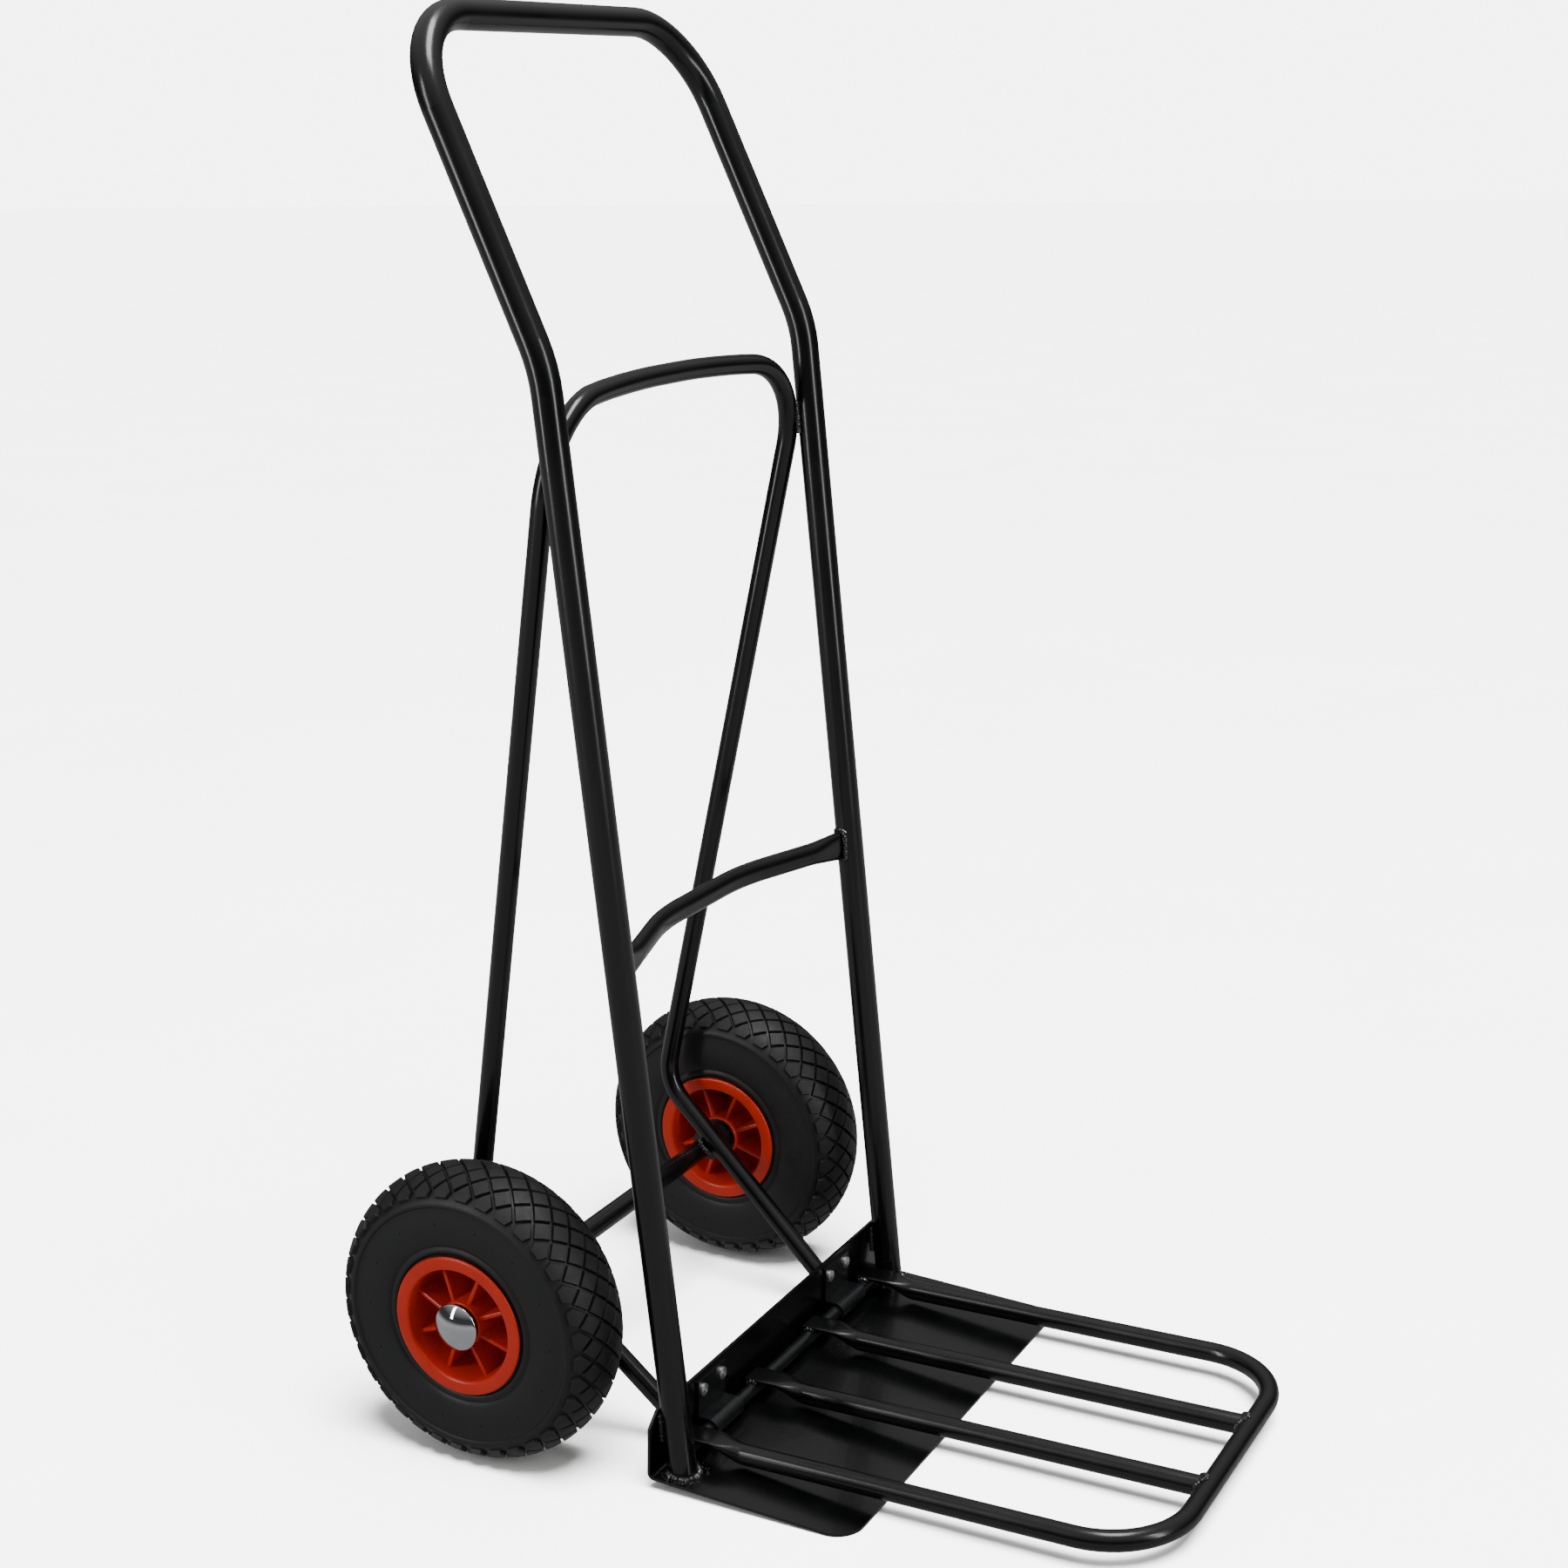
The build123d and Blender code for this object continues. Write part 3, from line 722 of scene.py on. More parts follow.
    def bent(self, made: GeometryTree, sheet: Any) -> Any:
        """Bend a flat sheet first over the tyre's section and then round its axle.

        Args:
            made: Tree that the sheet is part of.
            sheet: Output socket with the flat copies.

        Returns:
            Output socket with the bent sheet.
        """
        flat = made.add("GeometryNodeRealizeInstances", {0: sheet}).outputs[0]
        outer = made.size("Outer radius", self.outer_r * MM)
        section = made.size("Section radius", self.section_r * MM)
        position = made.add("GeometryNodeInputPosition").outputs[0]
        at = made.add("ShaderNodeSeparateXYZ", {0: position}).outputs
        angle, lean = made.maths("DIVIDE", at["X"], outer), made.maths("DIVIDE", at["Y"], section)
        rise = made.maths("ADD", section, at["Z"])
        reach = made.maths("MULTIPLY", rise, made.maths("COSINE", lean))
        radius = made.maths("ADD", made.maths("SUBTRACT", outer, section), reach)
        spot = made.vector(
            X=made.maths("MULTIPLY", radius, made.maths("COSINE", angle)),
            Y=made.maths("MULTIPLY", radius, made.maths("SINE", angle)),
            Z=made.maths("MULTIPLY", rise, made.maths("SINE", lean)),
        )
        return made.add("GeometryNodeSetPosition", {"Geometry": flat, "Position": spot}).outputs[0]


@dataclass
class Rim:
    """One-piece moulded rim with thin ribs in deep pockets. All sizes are in millimetres."""

    lip_r: float = 61.5
    mouth_r: float = 49.4
    seat_r: float = 57.5
    well_depth: float = 4.0
    well_share: float = 0.55
    half_width: float = 37.5
    barrel_r: float = 47.4
    hub_r: float = 21.0
    bore_r: float = 15.1
    hub_half: float = 33.0
    web: float = 3.0
    ribs: int = 8
    rib_t: float = 3.4
    rib_top: float = 0.55
    rib_bevel: float = 0.5
    rib_sunk: float = 1.6
    rib_below_hub: float = 3.0
    rib_below_lip: float = 11.0
    rounding: float = 1.2
    steps: int = 128

    def body(self, name: str, place: Matrix) -> bpy.types.Object:
        """Turn the rim's section round the axle.

        Args:
            name: Name of the piece.
            place: Where the wheel goes.

        Returns:
            The linked object.
        """
        h, well, web = self.half_width, self.seat_r - self.well_depth, self.web / 2
        seat = [(well, h * self.well_share), (self.seat_r, h - 10.5), (self.seat_r, h - 3.4)]
        lip = [(self.lip_r - 1.0, h - 3.4), (self.lip_r, h - 2.4), (self.lip_r, h - 1.0)]
        mouth = [(self.lip_r - 1.2, h), (self.mouth_r + 1.6, h - 0.2), (self.mouth_r, h - 1.8)]
        pocket = [(self.barrel_r, web + 2.0), (self.barrel_r - 2.0, web), (self.hub_r + 2.0, web)]
        hub = [(self.hub_r, web + 2.0), (self.hub_r - 0.9, self.hub_half - 1.0)]
        hub += [(self.hub_r - 1.8, self.hub_half), (self.bore_r, self.hub_half)]
        half = seat + lip + mouth + pocket + hub
        return lathe(name, half + [(r, -z) for r, z in reversed(half)], self.steps, place, self.rounding)

    def rib_set(self, name: str, place: Matrix, material: bpy.types.Material) -> bpy.types.Object:
        """Set the ribs round the hub, through both faces of the web.

        Args:
            name: Name of the piece.
            place: Where the wheel goes.
            material: Material of the ribs.

        Returns:
            The plain object.
        """
        start, stop = self.hub_r - self.rib_sunk, self.barrel_r + self.rib_sunk
        at_hub, at_barrel = self.hub_half - self.rib_below_hub, self.half_width - self.rib_below_lip
        t, bevel = self.rib_t / 2, self.rib_bevel
        verts = []
        for y, low in ((-t, bevel), (-t * self.rib_top, 0.0), (t * self.rib_top, 0.0), (t, bevel)):
            outer = [(start, at_hub - low), (stop, at_barrel - low)]
            inner = [(x, -z) for x, z in reversed(outer)]
            verts += [Vector((x, y, z)) * MM for x, z in outer + inner]
        rib = mesh_object("rib", verts, ring_faces(4, 4) + [(3, 2, 1, 0), (12, 13, 14, 15)])
        return ring_of_copies(name, rib, self.ribs, place, material, math.pi / self.ribs)


@dataclass
class HubCap:
    """Pressed domed cap over the end of the axle. All sizes are in millimetres."""

    radius: float = 20.8
    height: float = 8.5
    skirt: float = 1.6
    roll: float = 0.5
    tip: float = 0.02
    rings: int = 14
    steps: int = 96

    def build(self, name: str, place: Matrix) -> bpy.types.Object:
        """Turn the dome, its rolled edge and its flat back.

        Args:
            name: Name of the piece.
            place: Centre of the cap's back face, with Z outwards.

        Returns:
            The linked object.
        """
        dome = self.height - self.skirt
        ball = (self.radius**2 + dome**2) / (2 * dome)
        reach = math.asin((self.radius - self.roll) / ball)
        outline = []
        for i in range(self.rings + 1):
            a = reach * i / self.rings
            outline.append((max(ball * math.sin(a), self.tip), self.height - ball * (1 - math.cos(a))))
        outline += [(self.radius, self.skirt - 0.3), (self.radius, self.roll), (self.radius - self.roll, 0.0)]
        return lathe(name, [*outline, (self.tip, 0.0)], self.steps, place)


@dataclass
class Wheel:
    """One wheel with its cap. The sizes of its parts are in their own classes."""

    side: Side
    paint: Paintbox
    tyre: Tyre = field(default_factory=Tyre)
    rim: Rim = field(default_factory=Rim)
    cap: HubCap = field(default_factory=HubCap)

    def outwards(self, centre: Vector) -> Matrix:
        """Frame at a point of the axle whose Z points away from the truck."""
        return Matrix.Translation(centre) @ Matrix.Rotation(self.side.value * math.pi / 2, 4, "Y")

    def build(self) -> None:
        """Make and dress every piece of the wheel."""
        label, body, in_mm = self.side.label, self.side.wheel_body, Matrix.Scale(MM, 4)
        low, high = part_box(f"tyre_{label}")
        centre = (low + high) / 2
        place = self.outwards(centre)
        carcass = self.paint.dress(self.tyre.carcass(f"tyre_wall_{label}", place @ in_mm), WALL_RUBBER)
        on_body(carcass, body, "tyre_rubber", f"tyre_{label}")
        tread = self.tyre.tread(f"tyre_tread_{label}", place, self.paint.get(TREAD_RUBBER))
        on_body(tread, body, "tyre_rubber")
        vents = self.tyre.vents(f"tyre_vents_{label}", place, self.paint.get(TREAD_RUBBER))
        on_body(vents, body, "tyre_rubber")
        rim = self.paint.dress(self.rim.body(f"rim_shell_{label}", place @ in_mm), RED_PLASTIC)
        on_body(rim, body, "red_plastic", f"rim_{label}")
        ribs = self.rim.rib_set(f"rim_ribs_{label}", place, self.paint.get(RED_PLASTIC))
        on_body(ribs, body, "red_plastic")
        self.paint.dress_nodes(BLACK_NYLON, (f"hub_bush_inner_{label}", f"hub_bush_outer_{label}"))
        self.paint.dress_nodes(BLACK_NYLON, (f"axle_spacer_{label}", f"outer_washer_{label}"))
        self.paint.dress_nodes(WALL_RUBBER, (f"inner_tube_{label}",))
        low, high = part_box(f"hub_cap_{label}")
        back = Vector((low.x if self.side is Side.LEFT else high.x, centre.y, centre.z))
        cap = self.paint.dress(self.cap.build(f"cap_{label}", self.outwards(back) @ in_mm), CHROME)
        on_body(cap, "frame", "chrome_cap", f"hub_cap_{label}")


# ---------------------------------------------------------------------------------------------
# Frame, plate and grate
# ---------------------------------------------------------------------------------------------
Path = tuple[Sequence[Vector], bool]  # points of a bead, and whether it closes on itself


@dataclass
class WeldBead:
    """A rippled bead of weld along a path. All sizes are in metres."""

    radius: float = 0.0026
    ripple: float = 0.0024
    ripple_share: float = 0.14
    lump: float = 0.0006
    step: float = 0.0007
    sides: int = 10
    noise_scale: float = 260.0
    seed: int = 4

    def along(self, name: str, paths: Sequence[Path], material: bpy.types.Material) -> bpy.types.Object:
        """Run beads along paths and make them one piece.

        Args:
            name: Name of the piece.
            paths: The beads' paths, in metres.
            material: Enamel over the weld.

        Returns:
            The plain object.
        """
        verts, edges = [], []
        for points, closed in paths:
            first = len(verts)
            verts += [tuple(p) for p in points]
            edges += [(first + i, first + i + 1) for i in range(len(points) - 1)]
            if closed:
                edges.append((len(verts) - 1, first))
        mesh = bpy.data.meshes.new(name + "_paths")
        mesh.from_pydata(verts, edges, [])
        wire = bpy.data.objects.new(name + "_paths", mesh)
        bpy.context.scene.collection.objects.link(wire)
        made = GeometryTree(name + "_tree")
        curve = made.add("GeometryNodeMeshToCurve", {0: made.shape("Paths", wire)}).outputs[0]
        inputs = {"Curve": curve, "Length": made.size("Step", self.step)}
        even = made.add("GeometryNodeResampleCurve", inputs, mode="LENGTH").outputs[0]
        length = made.add("GeometryNodeSplineParameter").outputs["Length"]
        wave = made.maths("SINE", made.maths("MULTIPLY", length, 2 * math.pi / self.ripple))
        swell = made.maths("MULTIPLY_ADD", wave, self.ripple_share, 1.0)
        thick = made.maths("MULTIPLY", swell, made.size("Bead radius", self.radius))
        circle = {"Resolution": self.sides, "Radius": 1.0}
        ring = made.add("GeometryNodeCurvePrimitiveCircle", circle).outputs[0]
        inputs = {"Curve": even, "Profile Curve": ring, "Scale": thick, "Fill Caps": True}
        tube = made.add("GeometryNodeCurveToMesh", inputs).outputs[0]
        inputs = {"Scale": self.noise_scale, "W": made.size("Seed", float(self.seed))}
        lumps = made.add("ShaderNodeTexNoise", inputs, noise_dimensions="4D").outputs["Color"]
        centred = made.add("ShaderNodeVectorMath", {0: lumps, 1: (0.5, 0.5, 0.5)}, operation="SUBTRACT")
        inputs = {0: centred.outputs[0], "Scale": made.size("Lump", self.lump * 2)}
        push = made.add("ShaderNodeVectorMath", inputs, operation="SCALE").outputs[0]
        lumpy = made.add("GeometryNodeSetPosition", {"Geometry": tube, "Offset": push}).outputs[0]
        piece = made.run(name, lumpy, material)
        bpy.data.objects.remove(wire)
        return piece


def ring_path(centre: Vector, along: Vector, across: Vector, steps: int = 48) -> list[Vector]:
    """Points of an ellipse from its two half-axes."""
    turns = [2 * math.pi * i / steps for i in range(steps)]
    return [centre + along * math.cos(a) + across * math.sin(a) for a in turns]


def straight(start: Vector, end: Vector, steps: int = 6) -> list[Vector]:
    """Even points from one place to another."""
    return [start.lerp(end, i / steps) for i in range(steps + 1)]


@dataclass
class TubeFrame:
    """Bent tubes, plate, axle and the welds between them. Sizes are in millimetres."""

    paint: Paintbox
    main_r: float = 12.25
    foot: tuple[float, float, float] = (197.3, 51.3, 9.7)
    knee: tuple[float, float, float] = (209.1, 131.4, 915.0)
    foot_bead_out: float = 0.9
    foot_bead_shift: tuple[float, float, float] = (0.05, 0.2, 1.1)
    ear_bead_x: float = 7.4
    ear_bead_heights: tuple[float, ...] = (40.0, 46.0, 52.0, 58.0, 64.0)
    leg_back: float = 9.0
    flange_y: float = 72.5
    axle_joint: tuple[float, float, float] = (152.7, 223.9, 136.6)
    axle_bead_r: float = 8.2
    axle_bead_tilt: float = 1.4
    heel_x: float = 140.1
    heel_bead_x: float = 6.6
    heel_run: tuple[tuple[float, float], tuple[float, float]] = ((77.4, 7.0), (76.6, 30.0))
    arch_touch: tuple[float, float, float] = (200.3, 134.8, 833.0)
    arch_bead_out: float = 5.6
    arch_run: tuple[float, float] = (13.0, 15.0)
    cross_front: tuple[float, float] = (189.8, 88.2)
    cross_rear: tuple[float, float] = (193.4, 98.6)
    cross_heights: tuple[float, ...] = (429.5, 455.0, 455.5, 429.0)
    drop_r: float = 0.75
    drop_rise: float = 0.95
    drop_reach: tuple[float, float] = (2.4, 9.0)
    drop_sizes: tuple[float, float] = (0.45, 1.25)
    bead: WeldBead = field(default_factory=WeldBead)
    nodes: tuple[str, ...] = ("main_frame_tube", "axle_tube", "toe_plate")

    def leg_axis(self, height: float) -> Vector:
        """Middle of the left leg at a height."""
        foot, knee = Vector(self.foot), Vector(self.knee)
        return foot.lerp(knee, (height - foot.z) / (knee.z - foot.z))

    def build(self) -> None:
        """Dress the tubes and the plate and weld them."""
        self.paint.dress_nodes(ENAMEL, self.nodes)
        self.paint.dress_nodes(DRAWN_STEEL, ("axle_rod",))
        paths = self.foot_weld() + self.ear_weld() + self.axle_weld()
        paths += self.heel_weld() + self.arch_weld() + self.cross_weld()
        both = [mirrored(path, side) for path in paths for side in Side]
        welds = self.bead.along("frame_welds", both, self.paint.get(WELD_ENAMEL))
        on_body(welds, "frame", "black_paint")
        on_body(self.spatter("weld_spatter"), "frame", "black_paint")

    def foot_weld(self) -> list[Path]:
        """Run a bead round the foot of a leg, on the plate.

        Returns:
            The one closed path.
        """
        slope = math.radians(PLATE_LEAN)
        reach = self.main_r + self.foot_bead_out
        middle = Vector([at + shift for at, shift in zip(self.foot, self.foot_bead_shift)])
        across = Vector((0.0, math.cos(slope), math.sin(slope))) * reach
        return [(ring_path(middle, Vector((reach, 0.0, 0.0)), across), True)]

    def ear_weld(self) -> list[Path]:
        """Run two upright beads between a leg and the flange of the plate.

        Returns:
            The two open paths.
        """
        beads: list[Path] = []
        for offset in (-self.ear_bead_x, self.ear_bead_x):
            points = []
            for z in self.ear_bead_heights:
                axis = self.leg_axis(z)
                face = self.flange_y - z * math.tan(math.radians(PLATE_LEAN))
                points.append(Vector((axis.x + offset, (axis.y + self.leg_back + face) / 2, z)))
            beads.append((points, False))
        return beads

    def axle_weld(self) -> list[Path]:
        """Run a bead round the crossing of the rear brace and the axle tube.

        Returns:
            The one closed path.
        """
        level = Vector((self.axle_bead_r, 0.0, self.axle_bead_tilt))
        slant = Vector((0.0, 0.66, 0.75)) * self.axle_bead_r
        return [(ring_path(Vector(self.axle_joint), level, slant), True)]

    def heel_weld(self) -> list[Path]:
        """Run beads down both sides of the brace's lower end, behind the flange.

        Returns:
            The two open paths.
        """
        beads: list[Path] = []
        for offset in (-self.heel_bead_x, self.heel_bead_x):
            low, high = (Vector((self.heel_x + offset, *spot)) for spot in self.heel_run)
            beads.append((straight(low, high), False))
        return beads

    def arch_weld(self) -> list[Path]:
        """Run beads in both grooves where the arch of the rear brace meets a leg.

        Returns:
            The two open paths.
        """
        touch, run = Vector(self.arch_touch), Vector((0.013, 0.088, 0.996))
        groove = Vector((0.8, 0.6, 0.0)) * self.arch_bead_out
        down, up = self.arch_run
        beads = []
        for sign in (-1, 1):
            middle = touch + groove * sign
            beads.append((straight(middle - run * down, middle + run * up), False))
        return beads

    def cross_weld(self) -> list[Path]:
        """Run a bead right round an end of the cross brace.

        Returns:
            The one closed path.
        """
        places = (self.cross_front, self.cross_front, self.cross_rear, self.cross_rear)
        corners = [Vector((*place, height)) for place, height in zip(places, self.cross_heights)]
        points: list[Vector] = []
        for i, corner in enumerate(corners):
            points += straight(corner, corners[(i + 1) % len(corners)], 8)[:-1]
        return [(points, True)]

    def spatter(self, name: str, count: int = 46, seed: int = 11) -> bpy.types.Object:
        """Scatter small frozen drops of weld metal round both feet.

        Args:
            name: Name of the piece.
            count: Number of drops round each foot.
            seed: Seed of the scatter.

        Returns:
            The plain object.
        """
        made = GeometryTree(name + "_tree")
        drops = made.size("Drops", count, "NodeSocketInt")
        near, far = ((self.main_r + reach) * MM for reach in self.drop_reach)
        sheets = []
        for side in Side:
            key = made.size(f"Seed {side.label}", seed + side.value, "NodeSocketInt")
            turn = self._chance(made, 0.0, 2 * math.pi, key, 1)
            reach = self._chance(made, near, far, key, 2)
            x = made.maths("MULTIPLY", reach, made.maths("COSINE", turn))
            y = made.maths("MULTIPLY", reach, made.maths("SINE", turn))
            z = made.maths("MULTIPLY", y, math.tan(math.radians(PLATE_LEAN)))
            foot = Vector((self.foot[0] * side.value, self.foot[1], self.foot[2] + self.drop_rise)) * MM
            inputs = {0: made.vector(X=x, Y=y, Z=z), 1: tuple(foot)}
            spots = made.add("ShaderNodeVectorMath", inputs, operation="ADD").outputs[0]
            ball = {"Radius": self.drop_r * MM, "Subdivisions": 2}
            drop = made.add("GeometryNodeMeshIcoSphere", ball).outputs[0]
            size = self._chance(made, *self.drop_sizes, key, 3)
            sheets.append(made.scatter(drops, spots, drop, Scale=size))
        return made.run(name, made.join(sheets), self.paint.get(WELD_ENAMEL))

    @staticmethod
    def _chance(made: GeometryTree, low: float, high: float, seed: Any, number: int) -> Any:
        """Add a random number between two limits, with its own place in the order.

        Args:
            made: Tree that the number is drawn in.
            low: Lower limit.
            high: Upper limit.
            seed: Output socket with the seed.
            number: Place in the order of draws, which keeps the draws apart.

        Returns:
            Output socket with the number.
        """
        index = made.add("GeometryNodeInputIndex").outputs[0]
        inputs = {2: low, 3: high, "ID": made.maths("ADD", index, 1000.0 * number), "Seed": seed}
        return made.add("FunctionNodeRandomValue", inputs, data_type="FLOAT").outputs[1]


@dataclass(frozen=True)
class Station:
    """One cross-section of a swept bar: its centre, two half-axes, and how square its corners are."""

    centre: Vector
    across: Vector
    upright: Vector
    power: float = 2.0


def swept(name: str, stations: Sequence[Station], place: Matrix, sides: int = 32) -> bpy.types.Object:
    """Join cross-sections into one closed bar.

    Args:
        name: Name of the piece.
        stations: Cross-sections in order, in millimetres.
        place: Where the bar goes.
        sides: Number of corners in each cross-section.

    Returns:
        The linked object.
    """
    verts, turns = [], [2 * math.pi * i / sides for i in range(sides)]
    for station in stations:
        for a in turns:
            u, v = (math.copysign(abs(t) ** (2 / station.power), t) for t in (math.cos(a), math.sin(a)))
            verts.append(place @ (station.centre + station.across * u + station.upright * v))
    last = (len(stations) - 1) * sides
    ends = [tuple(range(sides))[::-1], tuple(range(last, last + sides))]
    return mesh_object(name, verts, ring_faces(len(stations), sides) + ends)


def flipped(point: Vector) -> Vector:
    """The same point or direction on the other side of the truck."""
    return point * Vector((-1, 1, 1))


def directions(path: Sequence[Vector]) -> list[Vector]:
    """Direction of a path at each of its points, from the point before to the point after."""
    last = len(path) - 1
    return [(path[min(i + 1, last)] - path[max(i - 1, 0)]).normalized() for i in range(last + 1)]


def mirrored(path: Path, side: Side) -> Path:
    """Bring a path in millimetres to one side of the truck, in metres."""
    points, closed = path
    return [Vector((p.x * side.value, p.y, p.z)) * MM for p in points], closed


def eased(share: float) -> float:
    """Turn an even rise from zero to one into one that starts and ends gently."""
    return share * share * (3 - 2 * share)


def filleted(corners: Sequence[Vector], radii: Sequence[float], step: float = 4.0) -> list[Vector]:
    """Round the inner corners of an open path with true arcs.

    Args:
        corners: Corners of the path.
        radii: Radius of the arc at each inner corner.
        step: Largest turn between two points of an arc, in degrees.

    Returns:
        The points of the rounded path.
    """
    out = [corners[0]]
    for back, here, ahead, radius in zip(corners, corners[1:], corners[2:], radii):
        a, b = (back - here).normalized(), (ahead - here).normalized()
        turn = math.pi - a.angle(b)
        middle = here + (a + b).normalized() * radius / math.cos(turn / 2)
        start = here + a * radius * math.tan(turn / 2)
        count = max(3, math.ceil(math.degrees(turn) / step))
        for i in range(count + 1):
            t = turn * i / count
            out.append(middle + (start - middle) * math.cos(t) - a * radius * math.sin(t))
    return out + [corners[-1]]


@dataclass
class RearBrace:
    """One bent tube up both sides and over in an even arch. Sizes are in millimetres."""

    paint: Paintbox
    radius: float = SMALL_TUBE_R
    heel: tuple[float, float, float] = (139.31, 74.97, 7.66)
    knee: tuple[float, float, float] = (157.95, 271.597, 193.6)
    corner: tuple[float, float, float] = (203.677, 131.061, 881.4)
    bow: float = 16.6
    rise: float = 10.3
    spans: tuple[float, ...] = (105.0, 40.0)
    radii: tuple[float, ...] = (45.0, 74.0, 650.0, 800.0)
    clear: float = 2.0
    def half(self) -> list[Vector]:
        """Corners of the left half of the axis.

        Returns:
            The corners from the heel to near the middle of the arch.
        """
        corners = [Vector(self.heel), Vector(self.knee), Vector(self.corner)]
        for x in self.spans:
            share = 1 - (x / self.corner[0]) ** 2
            y, z = self.corner[1] + self.bow * share, self.corner[2] + self.rise * share
            corners.append(Vector((x, y, z)))
        return corners

    def build(self) -> None:
        """Sweep the tube and cut both ends flush with the plate's flange and clear of the floor."""
        half = self.half()
        path = filleted(half + [flipped(c) for c in reversed(half)], [*self.radii, *reversed(self.radii)])
        lean = math.radians(PLATE_LEAN)
        flange = Vector((0, math.cos(lean), math.sin(lean)))
        stations, across = [], Vector((1, 0, 0))
        for i, (point, way) in enumerate(zip(path, directions(path))):
            across = (across - way * across.dot(way)).normalized()
            axes = [across * self.radius, way.cross(across) * self.radius]
            if i in (0, len(path) - 1):
                axes = [axis - way * (axis.dot(flange) / way.dot(flange)) for axis in axes]
            stations.append(Station(point, *axes))
        tube = swept("rear_brace", stations, Matrix.Scale(MM, 4))
        for vertex in tube.data.vertices:
            vertex.co.z = max(vertex.co.z, self.clear * MM)
        on_body(self.paint.dress(tube, ENAMEL), "frame", "black_paint", "rear_brace_tube")


@dataclass
class CrossBrace:
    """Bowed flattened tube between the legs with ends pressed tall and thin. Sizes are in millimetres."""

    paint: Paintbox
    half_height: float = 10.4
    half_depth: float = 7.3
    height: float = 442.0
    end: tuple[float, float] = (193.4, 93.0)
    corner: tuple[float, float] = (68.3, 132.0)
    bend_r: float = 200.0
    tall: float = 13.2
    thin: float = 4.0
    flare: float = 46.0
    flare_steps: int = 12
    end_power: float = 3.0

    def build(self) -> None:
        """Sweep the tube from one pressed end to the other."""
        end, corner = (Vector((*spot, self.height)) for spot in (self.end, self.corner))
        inward = (corner - end).normalized()
        mouth = [end + inward * (self.flare * i / self.flare_steps) for i in range(self.flare_steps)]
        half = mouth + filleted([end, corner, flipped(corner)], [self.bend_r])[1:-1]
        path = half + [flipped(c) for c in reversed(half)]
        stations = []
        for point, way in zip(path, directions(path)):
            near = min((point - end).length, (point - flipped(end)).length)
            ease = eased(min(near / self.flare, 1.0))
            side = Vector((0, 0, 1)).cross(way) * (self.thin + (self.half_depth - self.thin) * ease)
            upright = Vector((0, 0, self.tall + (self.half_height - self.tall) * ease))
            stations.append(Station(point, side, upright, self.end_power - ease))
        tube = swept("bowed_brace", stations, Matrix.Scale(MM, 4))
        on_body(self.paint.dress(tube, ENAMEL), "frame", "black_paint", "cross_brace")


@dataclass
class Hinge:
    """Clamps, screws and rod that carry the grate."""

    paint: Paintbox

    def build(self) -> None:
        """Dress the hinge."""
        self.paint.dress_nodes(THIN_ENAMEL, ("hinge_clamp_left", "hinge_clamp_right", "pivot_rod"))
        self.paint.dress_nodes(ZINC, ("clamp_screws", "clamp_nuts"))
        LOG.info("hinge dressed")


